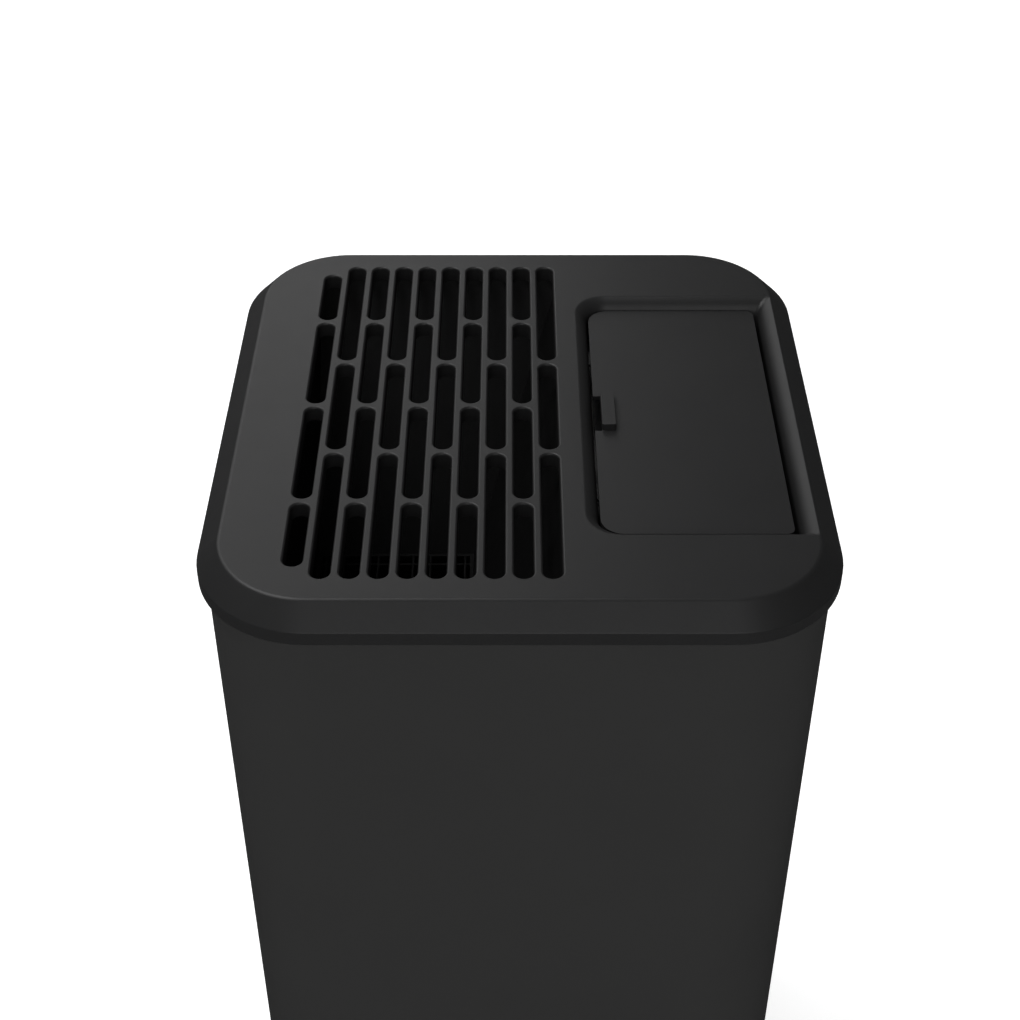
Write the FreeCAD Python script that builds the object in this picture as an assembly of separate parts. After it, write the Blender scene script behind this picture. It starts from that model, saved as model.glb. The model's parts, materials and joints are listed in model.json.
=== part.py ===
import FreeCAD, Part
import math
import os

# Square tower air purifier, millimetres. +Z is up, the front faces -Y, the control flap is on
# the +X side and the filter door is at the rear, +Y. The origin is at the middle of the floor
# area, on the floor.

# Overall sizes
height = 600.0
lid_width = 300.0
lid_depth = 315.0
lid_corner = 55.0

# Lid rim
lid_chamfer = 10.85
lid_side = 7.2
lid_wall = 2.5
lid_plate = 3.0
grille_plate = 8.0
plug_wall = 2.2
plug_depth = 16.0
shell_seat = 4.0

# Shell and base
shell_inset = 4.0
shell_wall = 1.2
foot_height = 6.0
foot_radius = 14.0
foot_inset = 58.0
base_lip = 4.0
base_lip_inset = 1.0
base_wall = 3.0
base_height = 28.0

# Outlet slots in the lid: brick pattern, slots run front to rear
slot_width = 9.0
slot_pitch = 13.13
slot_period = 77.14
slot_gap = 4.2
slot_left_margin = 46.74
slot_end_margin = 25.1
slot_well_margin = 19.5
slot_rows = 4
first_column_trim = 8.4
grille_frame = 6.0

# Flap and its pocket
flap_width = 90.6
flap_length = 191.0
flap_thick = 2.5
flap_drop = 5.3
flap_margin = 10.45
flap_corner = 11.0
flap_hinge_corner = 4.0
well_hinge_corner = 2.0
flap_gap = 0.7
hinge_gap = 2.8
flare_radius = 10.5
flare_tilt = 20.0
flare_steps = 5
flare_corner = 17.0
crease_margin = 0.55
flap_stop = 3.5
flap_stop_width = 12.0
flap_rib_inset = 12.0
tab_width = 29.2
tab_depth = 6.8
tab_rise = 3.8
notch_depth = 3.6
well_depth = 25.5
well_wall = 2.5
collar_wall = 1.5
collar_depth = 9.8
rod_radius = 1.5
barrel_radius = 3.0
rod_drop = 4.5
rod_inset = 4.0

# Control panel
panel_thick = 2.5
panel_drop = 15.2
panel_ledge = 5.0
button_radius = 7.0
power_radius = 9.0
reset_radius = 3.0
button_travel = 1.0
button_proud = 1.6
button_gap = 0.35
button_flange = 1.5
switch_size = 6.0
switch_height = 3.5
board_thick = 1.6
tray_wall = 2.0
tray_room = 9.0
panel_screw_inset = 10.0
button_column = 17.0
power_y = -66.0
fan_row_y = -30.0
reset_y = -15.0
timer_row_y = 0.0
indicator_y = 22.0
indicator_count = 4
indicator_pitch = 12.0
indicator_radius = 1.5
display_y = 52.0
display_width = 44.0
display_length = 40.0

# Rear door and filter housing
door_width = 188.0
door_height = 390.0
door_bottom = 60.0
door_thick = 3.0
door_edge = 10.0
door_gap = 1.0
door_rim = 2.0
door_pin_radius = 2.0
door_pin_length = 13.0
door_edge_wall = 3.0
door_slot_margin = 18.9
door_slot_rows = 5
door_stile = 6.5
grip_radius = 11.0
grip_length = 44.0
grip_aside = 3.0
grip_behind = 5.0
grip_depth = 8.5
grip_end_wall = 3.0
grip_bridge = 2.5
housing_depth = 103.5
housing_wall = 2.0
housing_flange = 6.0
magnet_reach = 100.0
magnet_length = 20.0
magnet_width = 3.5
magnet_thick = 3.0

# Filter
filter_width = 172.0
filter_slack = 4.0
filter_depth = 45.0
filter_setback = 24.5
filter_wall = 3.0
seal_thick = 3.5
seal_width = 5.0
seat_thick = 2.0
seat_land = 5.0
guide_half = 4.0
guide_spread = 50.0
guide_rise = 120.0
pleat_pitch = 6.0
pleat_depth = 26.0
pleat_band = 8.0
carbon_thick = 8.0
prefilter_thick = 5.0
prefilter_rim = 6.0
strap_width = 18.0
strap_span = 70.0
strap_rise = 6.0
strap_thick = 1.2

# Blower: centrifugal, its axle runs front to rear, and it blows up the left side
fan_x = 14.0
fan_z = 255.0
impeller_radius = 85.0
impeller_depth = 74.0
blade_count = 36
blade_depth = 17.0
blade_thick = 1.2
impeller_plate = 2.0
scroll_clearance = 8.0
scroll_growth = 36.0
scroll_wall = 2.2
scroll_depth = 96.0
tongue_angle = 115.0
outlet_rise = 12.7
duct_wall = 2.2
duct_clearance = 7.0
guard_columns = 9
guard_rows = 5
guard_bar = 1.2
guard_height = 4.0
inlet_step = 4.0
inlet_flare = 8.0
axle_radius = 4.0
hub_radius = 12.0
motor_radius = 38.0
motor_length = 36.0
motor_gap = 3.0
motor_wall = 2.0
motor_flange = 84.0
mount_inset = 9.0
mount_radius = 6.5
bearing_radius = 11.0
bearing_length = 7.0
running_fit = 0.05

# Mains inlet, power supply and leads
inlet_x = 60.0
inlet_z = 34.0
inlet_width = 30.0
inlet_tall = 22.0
inlet_deep = 20.0
socket_deep = 14.0
socket_radius = 4.6
pin_spacing = 8.6
pin_radius = 1.2
pin_length = 9.0
supply_width = 124.0
supply_depth = 60.0
supply_inset = 19.5
supply_wall = 2.0
supply_rise = 6.0
supply_room = 28.0
coil_size = (32.0, 30.0, 26.0)
sink_size = (4.0, 40.0, 24.0)
plug_block_size = (14.0, 20.0, 9.0)
capacitor_radius = 7.0
capacitor_height = 24.0
capacitor_pitch = 17.0
lead_radius = 2.6
lead_bend = 18.0
lead_port_x = 20.0
lead_port_inset = 20.0

# Small parts
fit = 0.2
screw_radius = 1.5
screw_head = 3.0
pilot_radius = 1.2
rail_thick = 1.5
rail_width = 44.0
rail_foot = 18.0
foot_peg_radius = 5.0
post_width = 16.0
post_inset = 12.0
post_setback = 8.0


# Values that follow from the sizes above

half_w = lid_width / 2
half_d = lid_depth / 2
lid_bottom = height - lid_chamfer - lid_side
crease_x = half_w - lid_chamfer

shell_half_w = half_w - shell_inset
shell_half_d = half_d - shell_inset
shell_corner = lid_corner - shell_inset
shell_in_w = shell_half_w - shell_wall
shell_in_d = shell_half_d - shell_wall
shell_bottom = foot_height + base_lip
shell_top = lid_bottom + shell_seat

flap_top = height - flap_drop
flap_right = crease_x - flap_margin
flap_left = flap_right - flap_width
flap_half = flap_length / 2
well_left = flap_left - flap_gap
well_right = flap_right + hinge_gap
well_half = flap_half + flap_gap
well_bottom = height - well_depth
well_corner = flap_corner + flap_gap
well_corners = (well_hinge_corner, well_corner, well_corner, well_hinge_corner)
flare_run = flare_radius * (1 - math.sin(math.radians(flare_tilt)))
rod_x = flap_right - rod_inset
rod_z = flap_top - rod_drop

panel_top = flap_top - panel_drop
panel_bottom = panel_top - panel_thick
well_mid = (well_left + well_right) / 2
button_low = panel_bottom - button_flange - 2.0
switch_top = button_low - button_travel - fit
board_top = switch_top - switch_height
board_bottom = board_top - board_thick
tray_low = board_bottom - tray_room

door_half = door_width / 2
door_top = door_bottom + door_height
opening_half = door_half + door_gap
opening_low = door_bottom - door_gap
opening_high = door_top + door_gap
door_outer = shell_half_d
door_inner = shell_half_d - door_edge
barrel_door = door_edge / 2
door_axis_x = -door_half + barrel_door - door_gap / 2
door_axis_y = door_outer - barrel_door
housing_front = shell_half_d - housing_depth
housing_half = opening_half + housing_wall
housing_low = opening_low - housing_wall
housing_high = opening_high + housing_wall
duct_knee = housing_high + duct_clearance

filter_height = door_height - filter_slack
filter_rear = shell_half_d - filter_setback
filter_front = filter_rear - filter_depth
filter_half = filter_width / 2
seat_y = filter_front - seal_thick
filter_mid_z = (opening_low + opening_high) / 2
filter_low = filter_mid_z - filter_height / 2
filter_high = filter_mid_z + filter_height / 2

scroll_rear_y = housing_front
scroll_front_y = scroll_rear_y - scroll_depth
scroll_mid_y = (scroll_rear_y + scroll_front_y) / 2
scroll_start = impeller_radius + scroll_clearance
tongue_x = fan_x + scroll_start * math.cos(math.radians(tongue_angle))
outlet_left = fan_x - scroll_start - scroll_growth
outlet_z = fan_z + scroll_start * math.sin(math.radians(tongue_angle)) + outlet_rise
impeller_front = scroll_mid_y - impeller_depth / 2
impeller_inner = impeller_radius - blade_depth
inlet_radius = impeller_inner - inlet_step
motor_back = scroll_front_y - motor_gap
motor_front = motor_back - motor_length

slot_first_x = slot_left_margin - half_w
slot_columns = int((well_left - slot_well_margin - slot_first_x) / slot_pitch) + 1
grille_half_depth = half_d - slot_end_margin
grille_left = slot_first_x - slot_width / 2
grille_right = slot_first_x + (slot_columns - 1) * slot_pitch + slot_width / 2
grille_low = height - grille_plate

floor_top = foot_height + base_wall
supply_front = supply_inset - half_d
supply_rear = supply_front + supply_depth
supply_low = floor_top + supply_rise
supply_board_top = supply_low + board_thick
supply_top = supply_board_top + supply_room + supply_wall

X_AXIS = FreeCAD.Vector(1, 0, 0)
Y_AXIS = FreeCAD.Vector(0, 1, 0)
Z_AXIS = FreeCAD.Vector(0, 0, 1)

nodes = {}


# Shape helpers

def point(x, y, z):
    return FreeCAD.Vector(x, y, z)


def box(x0, x1, y0, y1, z0, z1):
    return Part.makeBox(x1 - x0, y1 - y0, z1 - z0, point(x0, y0, z0))


def rod(radius, start, length, axis):
    return Part.makeCylinder(radius, length, start, axis)


def fuse(shapes):
    first, rest = shapes[0], shapes[1:]
    if rest:
        first = first.multiFuse(rest)
    return first.removeSplitter()


def outline(x0, x1, y0, y1, z, corners):
    """Wire of a rectangle whose corner radii are given as right-rear, left-rear,
    left-front, right-front."""
    centres = [(x1, y1, 0), (x0, y1, 90), (x0, y0, 180), (x1, y0, 270)]
    inward = [(-1, -1), (1, -1), (1, 1), (-1, 1)]
    ends = []
    edges = []
    for (x, y, start), (sx, sy), radius in zip(centres, inward, corners):
        middle = point(x + sx * radius, y + sy * radius, z)
        arc = Part.Circle(middle, Z_AXIS, radius)
        a0 = math.radians(start)
        a1 = math.radians(start + 90)
        edges.append(Part.Edge(arc, a0, a1))
        ends.append((arc.value(a0), arc.value(a1)))
    for i in range(4):
        here = ends[i][1]
        after = ends[(i + 1) % 4][0]
        edges.append(Part.LineSegment(here, after).toShape())
    return Part.Wire(Part.__sortEdges__(edges))


def slab(x0, x1, y0, y1, z0, z1, corners):
    """Upright prism on a rounded rectangle."""
    if not isinstance(corners, (tuple, list)):
        corners = (corners,) * 4
    face = Part.Face(outline(x0, x1, y0, y1, z0, corners))
    return face.extrude(point(0, 0, z1 - z0))


def plan(half_x, half_y, corner, z0, z1):
    """Prism centred on the tower's axis."""
    return slab(-half_x, half_x, -half_y, half_y, z0, z1, corner)


def upright_ring(x0, x1, y0, y1, z0, z1, wall):
    """Rectangular frame that stands in the XZ plane."""
    inner = box(x0 + wall, x1 - wall, y0, y1, z0 + wall, z1 - wall)
    return box(x0, x1, y0, y1, z0, z1).cut(inner)


def long_slot(centre, start, end, low, high, width):
    """Cutter with round ends that runs from start to end along Y."""
    r = width / 2
    body = box(centre - r, centre + r, start + r, end - r, low, high)
    ends = [rod(r, point(centre, y, low), high - low, Z_AXIS) for y in (start + r, end - r)]
    return body.multiFuse(ends)


def screw(tip, head_at, axis, length, radius=screw_radius, head=screw_head):
    """Pan-head screw: head_at is under the head, the shank runs along axis."""
    shank = rod(radius, head_at, length, axis)
    cap = rod(head, head_at - axis * tip, tip, axis)
    return shank.fuse(cap).removeSplitter()


def group(shapes):
    return Part.makeCompound(shapes)


# Lid

def chamfered_block(inset, top):
    """Rounded block with the lid's chamfered top edge, made smaller by inset all round."""
    slope = inset * math.tan(math.radians(22.5))
    chamfer = lid_chamfer - (height - top) + slope
    side_top = top - chamfer
    wide = (half_w - inset, half_d - inset, lid_corner - inset)
    narrow = tuple(size - chamfer for size in wide)
    side = plan(*wide, lid_bottom, side_top)
    low = outline(-wide[0], wide[0], -wide[1], wide[1], side_top, (wide[2],) * 4)
    high = outline(-narrow[0], narrow[0], -narrow[1], narrow[1], top, (narrow[2],) * 4)
    return side.fuse(Part.makeLoft([low, high], True, True)).removeSplitter()


def slot_spans(rows, half):
    """Slot ends of one column: its joints are a period apart, and its end slots run on."""
    joints = [(row - rows / 2) * slot_period for row in range(1, rows)]
    edges = [-half - slot_gap / 2] + joints + [half + slot_gap / 2]
    return [(a + slot_gap / 2, b - slot_gap / 2) for a, b in zip(edges, edges[1:])]


def slot_cutters():
    cutters = []
    for column in range(slot_columns):
        x = slot_first_x + column * slot_pitch
        half = grille_half_depth - (first_column_trim if column == 0 else 0)
        for start, end in slot_spans(slot_rows - column % 2, half):
            cutters.append(long_slot(x, start, end, grille_low - 1, height + 1, slot_width))
    return cutters


def flare_outline(turn, lift=0.0):
    """The pocket's outline where its rounded mouth slopes by this many degrees."""
    tilt = math.radians(flare_tilt)
    slope = math.radians(turn)
    spread = flare_radius * (1 - math.sin(slope)) + lift / math.tan(tilt)
    depth = flare_radius * (math.cos(tilt) - math.cos(slope)) - lift
    share = spread / flare_run
    right = well_right + (crease_x - crease_margin - well_right) * share
    corner = well_corner + (flare_corner - well_corner) * share
    corners = (well_hinge_corner, corner, corner, well_hinge_corner)
    y = well_half + spread
    return outline(well_left - spread, right, -y, y, height - depth, corners)


def pocket_cutter():
    """The well, with a mouth that curves from upright walls out to the lid's top."""
    above = 0.02
    turns = [flare_tilt + (90 - flare_tilt) * i / flare_steps for i in range(flare_steps + 1)]
    wires = [flare_outline(turn, above if turn == flare_tilt else 0.0) for turn in turns]
    flare = [Part.makeLoft(list(pair), True, True) for pair in zip(wires, wires[1:])]
    well = slab(well_left, well_right, -well_half, well_half, well_bottom - 1,
                wires[-1].BoundBox.ZMax, well_corners)
    return well.multiFuse(flare)


def well_tube():
    """Walls that line the pocket, with a thicker collar behind its mouth."""
    grown = [c + well_wall for c in well_corners]
    tube = slab(well_left - well_wall, well_right + well_wall, -well_half - well_wall,
                well_half + well_wall, well_bottom, height - lid_plate / 2, grown)
    y = well_half + flare_run + collar_wall
    corners = (well_hinge_corner, flare_corner, flare_corner, well_hinge_corner)
    collar = slab(well_left - flare_run - collar_wall, crease_x, -y, y, height - collar_depth,
                  height - lid_plate / 2, corners)
    return tube.fuse(collar)


def panel_ledge_ring():
    top = panel_bottom
    outer = slab(well_left, well_right, -well_half, well_half, well_bottom, top, 1.0)
    inner = slab(well_left + panel_ledge, well_right - panel_ledge, -well_half + panel_ledge,
                 well_half - panel_ledge, well_bottom - 1, top + 1, panel_ledge - 1)
    return outer.cut(inner)


def panel_screw_points():
    inset = panel_ledge / 2
    xs = (well_left + inset + panel_screw_inset, well_right - inset - panel_screw_inset)
    ys = (-well_half + inset, well_half - inset)
    return [(x, y) for x in xs for y in ys]


def make_top_cover():
    outer = chamfered_block(0.0, height)
    hollow = chamfered_block(lid_wall, height - lid_plate)
    hollow = hollow.fuse(plan(half_w - lid_wall, half_d - lid_wall, lid_corner - lid_wall,
                              lid_bottom - 1, lid_bottom + 1))
    cover = outer.cut(hollow)
    reach = grille_half_depth + grille_frame
    grille = box(grille_left - grille_frame, grille_right + grille_frame, -reach, reach,
                 grille_low, height - lid_plate / 2)
    plug_x = shell_in_w - fit
    plug_y = shell_in_d - fit
    plug_top = height - lid_chamfer + (half_w - plug_x) - lid_wall / 2
    plug_corner = shell_corner - shell_wall - fit
    plug = plan(plug_x, plug_y, plug_corner, lid_bottom - plug_depth, plug_top)
    core = plan(plug_x - plug_wall, plug_y - plug_wall, plug_corner - plug_wall,
                lid_bottom - plug_depth - 1, plug_top + 1)
    cover = cover.multiFuse([grille, plug.cut(core), well_tube()])
    cover = cover.cut(pocket_cutter())
    cover = cover.multiFuse(flap_stops() + [panel_ledge_ring()])
    cover = cover.cut(group(slot_cutters()))
    holes = [rod(rod_radius, point(rod_x, -well_half - well_wall - 1, rod_z),
                 2 * (well_half + well_wall + 1), Y_AXIS)]
    for x, y in panel_screw_points():
        holes.append(rod(pilot_radius, point(x, y, well_bottom - 1), panel_bottom, Z_AXIS))
    cover = cover.cut(group(holes))
    return cover.removeSplitter()


def flap_stops():
    """Two lugs on the well's left wall that the flap rests just above."""
    under = flap_top - flap_thick - fit
    half = flap_stop_width / 2
    return [box(well_left - 0.5, well_left + flap_stop, y - half, y + half, under - 4, under)
            for y in (-flap_half * 0.6, flap_half * 0.6)]


def make_control_flap():
    corners = (flap_hinge_corner, flap_corner, flap_corner, flap_hinge_corner)
    low = flap_top - flap_thick
    plate = slab(flap_left, flap_right, -flap_half, flap_half, low, flap_top, corners)
    notch = box(flap_left - 1, flap_left + notch_depth, -tab_width / 2 - 0.3,
                tab_width / 2 + 0.3, low - 1, flap_top + 1)
    tab_x = flap_left + notch_depth
    tab = slab(tab_x, tab_x + tab_depth, -tab_width / 2, tab_width / 2, flap_top - 0.5,
               flap_top + tab_rise, 0.8)
    barrel_half = flap_half - 1.5
    barrel = rod(barrel_radius, point(rod_x, -barrel_half, rod_z), 2 * barrel_half, Y_AXIS)
    web = box(rod_x - barrel_radius, rod_x + barrel_radius - 1, -barrel_half, barrel_half,
              rod_z, low + 0.5)
    rib_x = flap_left + flap_rib_inset
    rib = box(rib_x, rib_x + 2, -flap_half + 14, flap_half - 14, low - 2, low + 0.5)
    flap = plate.cut(notch).multiFuse([tab, barrel, web, rib])
    bore = rod(rod_radius + running_fit, point(rod_x, -flap_half, rod_z), flap_length, Y_AXIS)
    return flap.cut(bore).removeSplitter()


def make_flap_hinge_rod():
    reach = well_half + well_wall
    return rod(rod_radius, point(rod_x, -reach, rod_z), 2 * reach, Y_AXIS)


# Controls under the flap

# Each button's offset across the panel from its middle, place along Y, and radius
buttons = {
    "power_button": (0.0, power_y, power_radius),
    "fan_down_button": (-button_column, fan_row_y, button_radius),
    "fan_up_button": (button_column, fan_row_y, button_radius),
    "timer_button": (-button_column, timer_row_y, button_radius),
    "night_button": (button_column, timer_row_y, button_radius),
    "filter_reset_button": (0.0, reset_y, reset_radius),
}


def make_button(radius, x, y):
    """Domed cap, a flange that stops it under the panel, and a stem above its switch."""
    crown = radius * 3.0
    cap = rod(radius, point(x, y, panel_bottom - button_flange), panel_thick + button_flange
              + button_proud, Z_AXIS)
    ball = Part.makeSphere(crown, point(x, y, panel_top + button_proud - crown))
    cap = cap.common(ball)
    flange = rod(radius + 1.2, point(x, y, panel_bottom - button_flange), button_flange - 0.1,
                 Z_AXIS)
    stem = rod(min(1.8, radius / 2), point(x, y, button_low), button_flange + 2.0, Z_AXIS)
    return fuse([cap, flange, stem])


def display_box(grow, low, high):
    x = display_width / 2 + grow
    y = display_length / 2 + grow
    return box(well_mid - x, well_mid + x, display_y - y, display_y + y, low, high)


def indicator_points():
    first = well_mid - indicator_pitch * (indicator_count - 1) / 2
    return [(first + indicator_pitch * i, indicator_y) for i in range(indicator_count)]


def make_control_panel():
    panel = slab(well_left + fit, well_right - fit, -well_half + fit, well_half - fit,
                 panel_bottom, panel_top, [corner - fit for corner in well_corners])
    holes = []
    for dx, y, radius in buttons.values():
        holes.append(rod(radius + button_gap, point(well_mid + dx, y, panel_bottom - 1),
                         panel_thick + 2, Z_AXIS))
    for x, y in indicator_points():
        holes.append(rod(indicator_radius, point(x, y, panel_bottom - 1), panel_thick + 2,
                         Z_AXIS))
    holes.append(display_box(0.0, panel_bottom - 1, panel_top + 1))
    for x, y in panel_screw_points():
        holes.append(rod(pilot_radius, point(x, y, panel_bottom - 1), panel_thick + 2, Z_AXIS))
    return panel.cut(group(holes))


def make_controls():
    nodes["control_panel"] = make_control_panel()
    switches = []
    for name, (dx, y, radius) in buttons.items():
        x = well_mid + dx
        nodes[name] = make_button(radius, x, y)
        half = switch_size / 2
        switches.append(box(x - half, x + half, y - half, y + half, board_top, switch_top))
    nodes["button_switches"] = group(switches)
    lens = display_box(0.0, panel_bottom, panel_top - 0.2)
    nodes["display_lens"] = lens.fuse(display_box(1.5, panel_bottom - 1.0, panel_bottom))
    nodes["display_lens"] = nodes["display_lens"].removeSplitter()
    nodes["display_module"] = display_box(-2.0, board_top, panel_bottom - 1.0)
    pipes = []
    for x, y in indicator_points():
        pipes.append(rod(indicator_radius, point(x, y, board_top + 1.0),
                         panel_top + fit - board_top - 1.0, Z_AXIS))
    nodes["indicator_lenses"] = group(pipes)
    margin = panel_ledge + 2.5
    posts = board_posts(margin)
    board = box(well_left + margin, well_right - margin, -well_half + margin,
                well_half - margin, board_bottom, board_top)
    nodes["control_board"] = board.cut(group([rod(1.3, point(x, y, board_bottom - 1), 4, Z_AXIS)
                                              for x, y in posts]))
    nodes["control_tray"] = make_control_tray(posts)
    heads = []
    for x, y in panel_screw_points():
        heads.append(screw(1.4, point(x, y, panel_top), -Z_AXIS, panel_thick + 4.5,
                           pilot_radius, 2.2))
    nodes["panel_screws"] = group(heads)


def board_posts(margin):
    xs = (well_left + margin + 5, well_right - margin - 5)
    ys = (-well_half + margin + 5, well_half - margin - 5)
    return [(x, y) for x in xs for y in ys]


def make_control_tray(posts):
    """Open tray under the well that closes the controls off from the air way."""
    low = tray_low
    x0 = well_left - well_wall + fit
    x1 = well_right + well_wall - fit
    y = well_half + well_wall - fit
    tray = box(x0, x1, -y, y, low, well_bottom)
    tray = tray.cut(box(x0 + tray_wall, x1 - tray_wall, -y + tray_wall, y - tray_wall,
                        low + tray_wall, well_bottom + 1))
    pillars = [rod(3.0, point(px, py, low + 1), board_bottom - low - 1, Z_AXIS)
               for px, py in posts]
    pins = [rod(1.3, point(px, py, board_bottom - 1), board_thick + 1, Z_AXIS)
            for px, py in posts]
    return fuse([tray] + pillars + pins)


# Shell, base and frame

def make_body_shell():
    outer = plan(shell_half_w, shell_half_d, shell_corner, shell_bottom, shell_top)
    inner = plan(shell_in_w, shell_in_d, shell_corner - shell_wall, shell_bottom - 1,
                 shell_top + 1)
    door_cut = box(-housing_half - fit, housing_half + fit, half_d / 2, half_d + 1,
                   housing_low - fit, housing_high + fit)
    inlet = inlet_outline(fit, shell_half_d - inlet_deep, shell_half_d + 5)
    return outer.cut(inner).cut(group([door_cut, inlet])).removeSplitter()


def inlet_outline(grow, y0, y1):
    w = inlet_width / 2 + grow
    t = inlet_tall / 2 + grow
    return box(inlet_x - w, inlet_x + w, y0, y1, inlet_z - t, inlet_z + t)


def foot_points():
    x = shell_half_w - foot_inset
    y = shell_half_d - foot_inset
    return [(sx * x, sy * y) for sx in (-1, 1) for sy in (-1, 1)]


def rail_screw_points():
    return [(side * (shell_in_w - 12.0), y) for side in (-1, 1) for y in (-14.0, 14.0)]


def make_base():
    lip = plan(shell_half_w - base_lip_inset, shell_half_d - base_lip_inset,
               shell_corner - base_lip_inset, foot_height, shell_bottom)
    wall_x = shell_in_w - fit
    wall_y = shell_in_d - fit
    corner = shell_corner - shell_wall - fit
    tub = plan(wall_x, wall_y, corner, shell_bottom - 1, foot_height + base_height)
    hollow = plan(wall_x - base_wall, wall_y - base_wall, corner - base_wall, floor_top,
                  foot_height + base_height + 1)
    pan = lip.fuse(tub).cut(hollow)
    posts = []
    post_y = housing_front + post_setback
    for x in (-housing_half + post_inset, housing_half - post_inset):
        posts.append(box(x - post_width / 2, x + post_width / 2, post_y, post_y + post_width,
                         floor_top - 1, housing_low))
    pan = pan.multiFuse(posts)
    cuts = [inlet_outline(fit, shell_half_d - 25, shell_half_d + 5)]
    for x, y in foot_points():
        cuts.append(rod(foot_peg_radius, point(x, y, foot_height - 1), base_wall + 2, Z_AXIS))
    for x, y in rail_screw_points():
        cuts.append(rod(screw_radius, point(x, y, foot_height - 1), base_wall + 2, Z_AXIS))
        cuts.append(rod(screw_head, point(x, y, foot_height - 1), 2.0, Z_AXIS))
    nodes["base_pan"] = pan.cut(group(cuts)).removeSplitter()
    feet = []
    for x, y in foot_points():
        pad = rod(foot_radius, point(x, y, 0), foot_height, Z_AXIS)
        pad = pad.makeChamfer(1.2, [e for e in pad.Edges if e.BoundBox.ZMax < 0.1])
        feet.append(pad.fuse(rod(foot_peg_radius, point(x, y, foot_height), base_wall + 1,
                                 Z_AXIS)))
    nodes["rubber_feet"] = group([foot.removeSplitter() for foot in feet])


def make_rails():
    """Bent steel struts up the inside of both walls, with a foot screwed to the base."""
    top = lid_bottom - plug_depth - 2.0
    clear = base_wall + 2 * fit
    half = rail_width / 2
    for side, name in ((-1, "chassis_rail_left"), (1, "chassis_rail_right")):
        outer = side * (shell_in_w - clear)
        inner = outer - side * rail_thick
        strut = box(min(outer, inner), max(outer, inner), -half, half, floor_top, top)
        toe = outer - side * rail_foot
        foot = box(min(outer, toe), max(outer, toe), -half, half, floor_top,
                   floor_top + rail_thick)
        holes = [rod(screw_radius, point(x, y, floor_top - 1), 4, Z_AXIS)
                 for x, y in rail_screw_points()]
        nodes[name] = strut.fuse(foot).removeSplitter().cut(group(holes))
    nodes["rail_screws"] = group([screw(1.0, point(x, y, foot_height + 1), Z_AXIS,
                                        base_wall + 2.5) for x, y in rail_screw_points()])


# Filter housing, door and filter

def make_filter_housing():
    x = housing_half
    tube = box(-x, x, housing_front, shell_half_d, housing_low, housing_high)
    bay = box(-opening_half, opening_half, housing_front + housing_wall, shell_half_d + 1,
              opening_low, opening_high)
    housing = tube.cut(bay)
    edge = housing_flange
    flange = upright_ring(-x - edge, x + edge, shell_in_d - 4.5, shell_in_d - 2.0,
                          housing_low - edge, housing_high + edge, edge + 1.0)
    guides = []
    for z in (filter_mid_z - guide_rise, filter_mid_z + guide_rise):
        for side in (-1, 1):
            a = side * (filter_half + fit)
            b = side * (opening_half + 0.5)
            guides.append(box(min(a, b), max(a, b), seat_y, filter_rear, z - guide_half,
                              z + guide_half))
    for x in (-guide_spread, guide_spread):
        guides.append(box(x - guide_half, x + guide_half, seat_y, filter_rear,
                          opening_low - 0.5, filter_low))
    ledges = [box(opening_half - 6.0, opening_half + 0.5, door_inner - 4.5, door_inner - 2.0,
                  z - magnet_length / 2 - 2, z + magnet_length / 2 + 2) for z in magnet_heights()]
    housing = housing.multiFuse([flange] + guides + ledges)
    cuts = [rod(inlet_radius + inlet_flare + 1, point(fan_x, housing_front - 1, fan_z),
                housing_wall + 2, Y_AXIS)]
    for start in door_pin_starts():
        cuts.append(rod(door_pin_radius, start, door_pin_length, Z_AXIS))
    for x, z in blower_screw_points():
        cuts.append(rod(screw_radius, point(x, housing_front - 1, z), housing_wall + 2, Y_AXIS))
    return housing.cut(group(cuts)).removeSplitter()


def make_filter_seat():
    """Frame across the housing that the filter's seal is pressed on."""
    return upright_ring(-opening_half, opening_half, seat_y - seat_thick, seat_y, opening_low,
                        opening_high, opening_half - filter_half + seat_land)


def magnet_heights():
    return (filter_mid_z - magnet_reach, filter_mid_z + magnet_reach)


def door_pin_starts():
    return [point(door_axis_x, door_axis_y, housing_low),
            point(door_axis_x, door_axis_y, housing_high - door_pin_length)]


def blower_screw_points():
    reach = inlet_radius + inlet_flare + 7
    angles = [math.radians(a) for a in (45, 135, 225, 315)]
    return [(fan_x + reach * math.cos(a), fan_z + reach * math.sin(a)) for a in angles]


def door_slots():
    """Intake slots: the lid's brick pattern, stood upright."""
    gaps = int(2 * (door_half - door_slot_margin - slot_width / 2) / slot_pitch)
    half = door_height / 2 - door_slot_margin
    cutters = []
    for column in range(gaps + 1):
        x = (column - gaps / 2) * slot_pitch
        for start, end in slot_spans(door_slot_rows - column % 2, half):
            cutters.append(upright_slot(x, filter_mid_z + start, filter_mid_z + end))
    return cutters


def upright_slot(x, low, high):
    r = slot_width / 2
    y0 = door_outer - door_thick - 1
    deep = door_thick + 2
    body = box(x - r, x + r, y0, y0 + deep, low + r, high - r)
    ends = [rod(r, point(x, y0, z), deep, Y_AXIS) for z in (low + r, high - r)]
    return body.multiFuse(ends)


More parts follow.
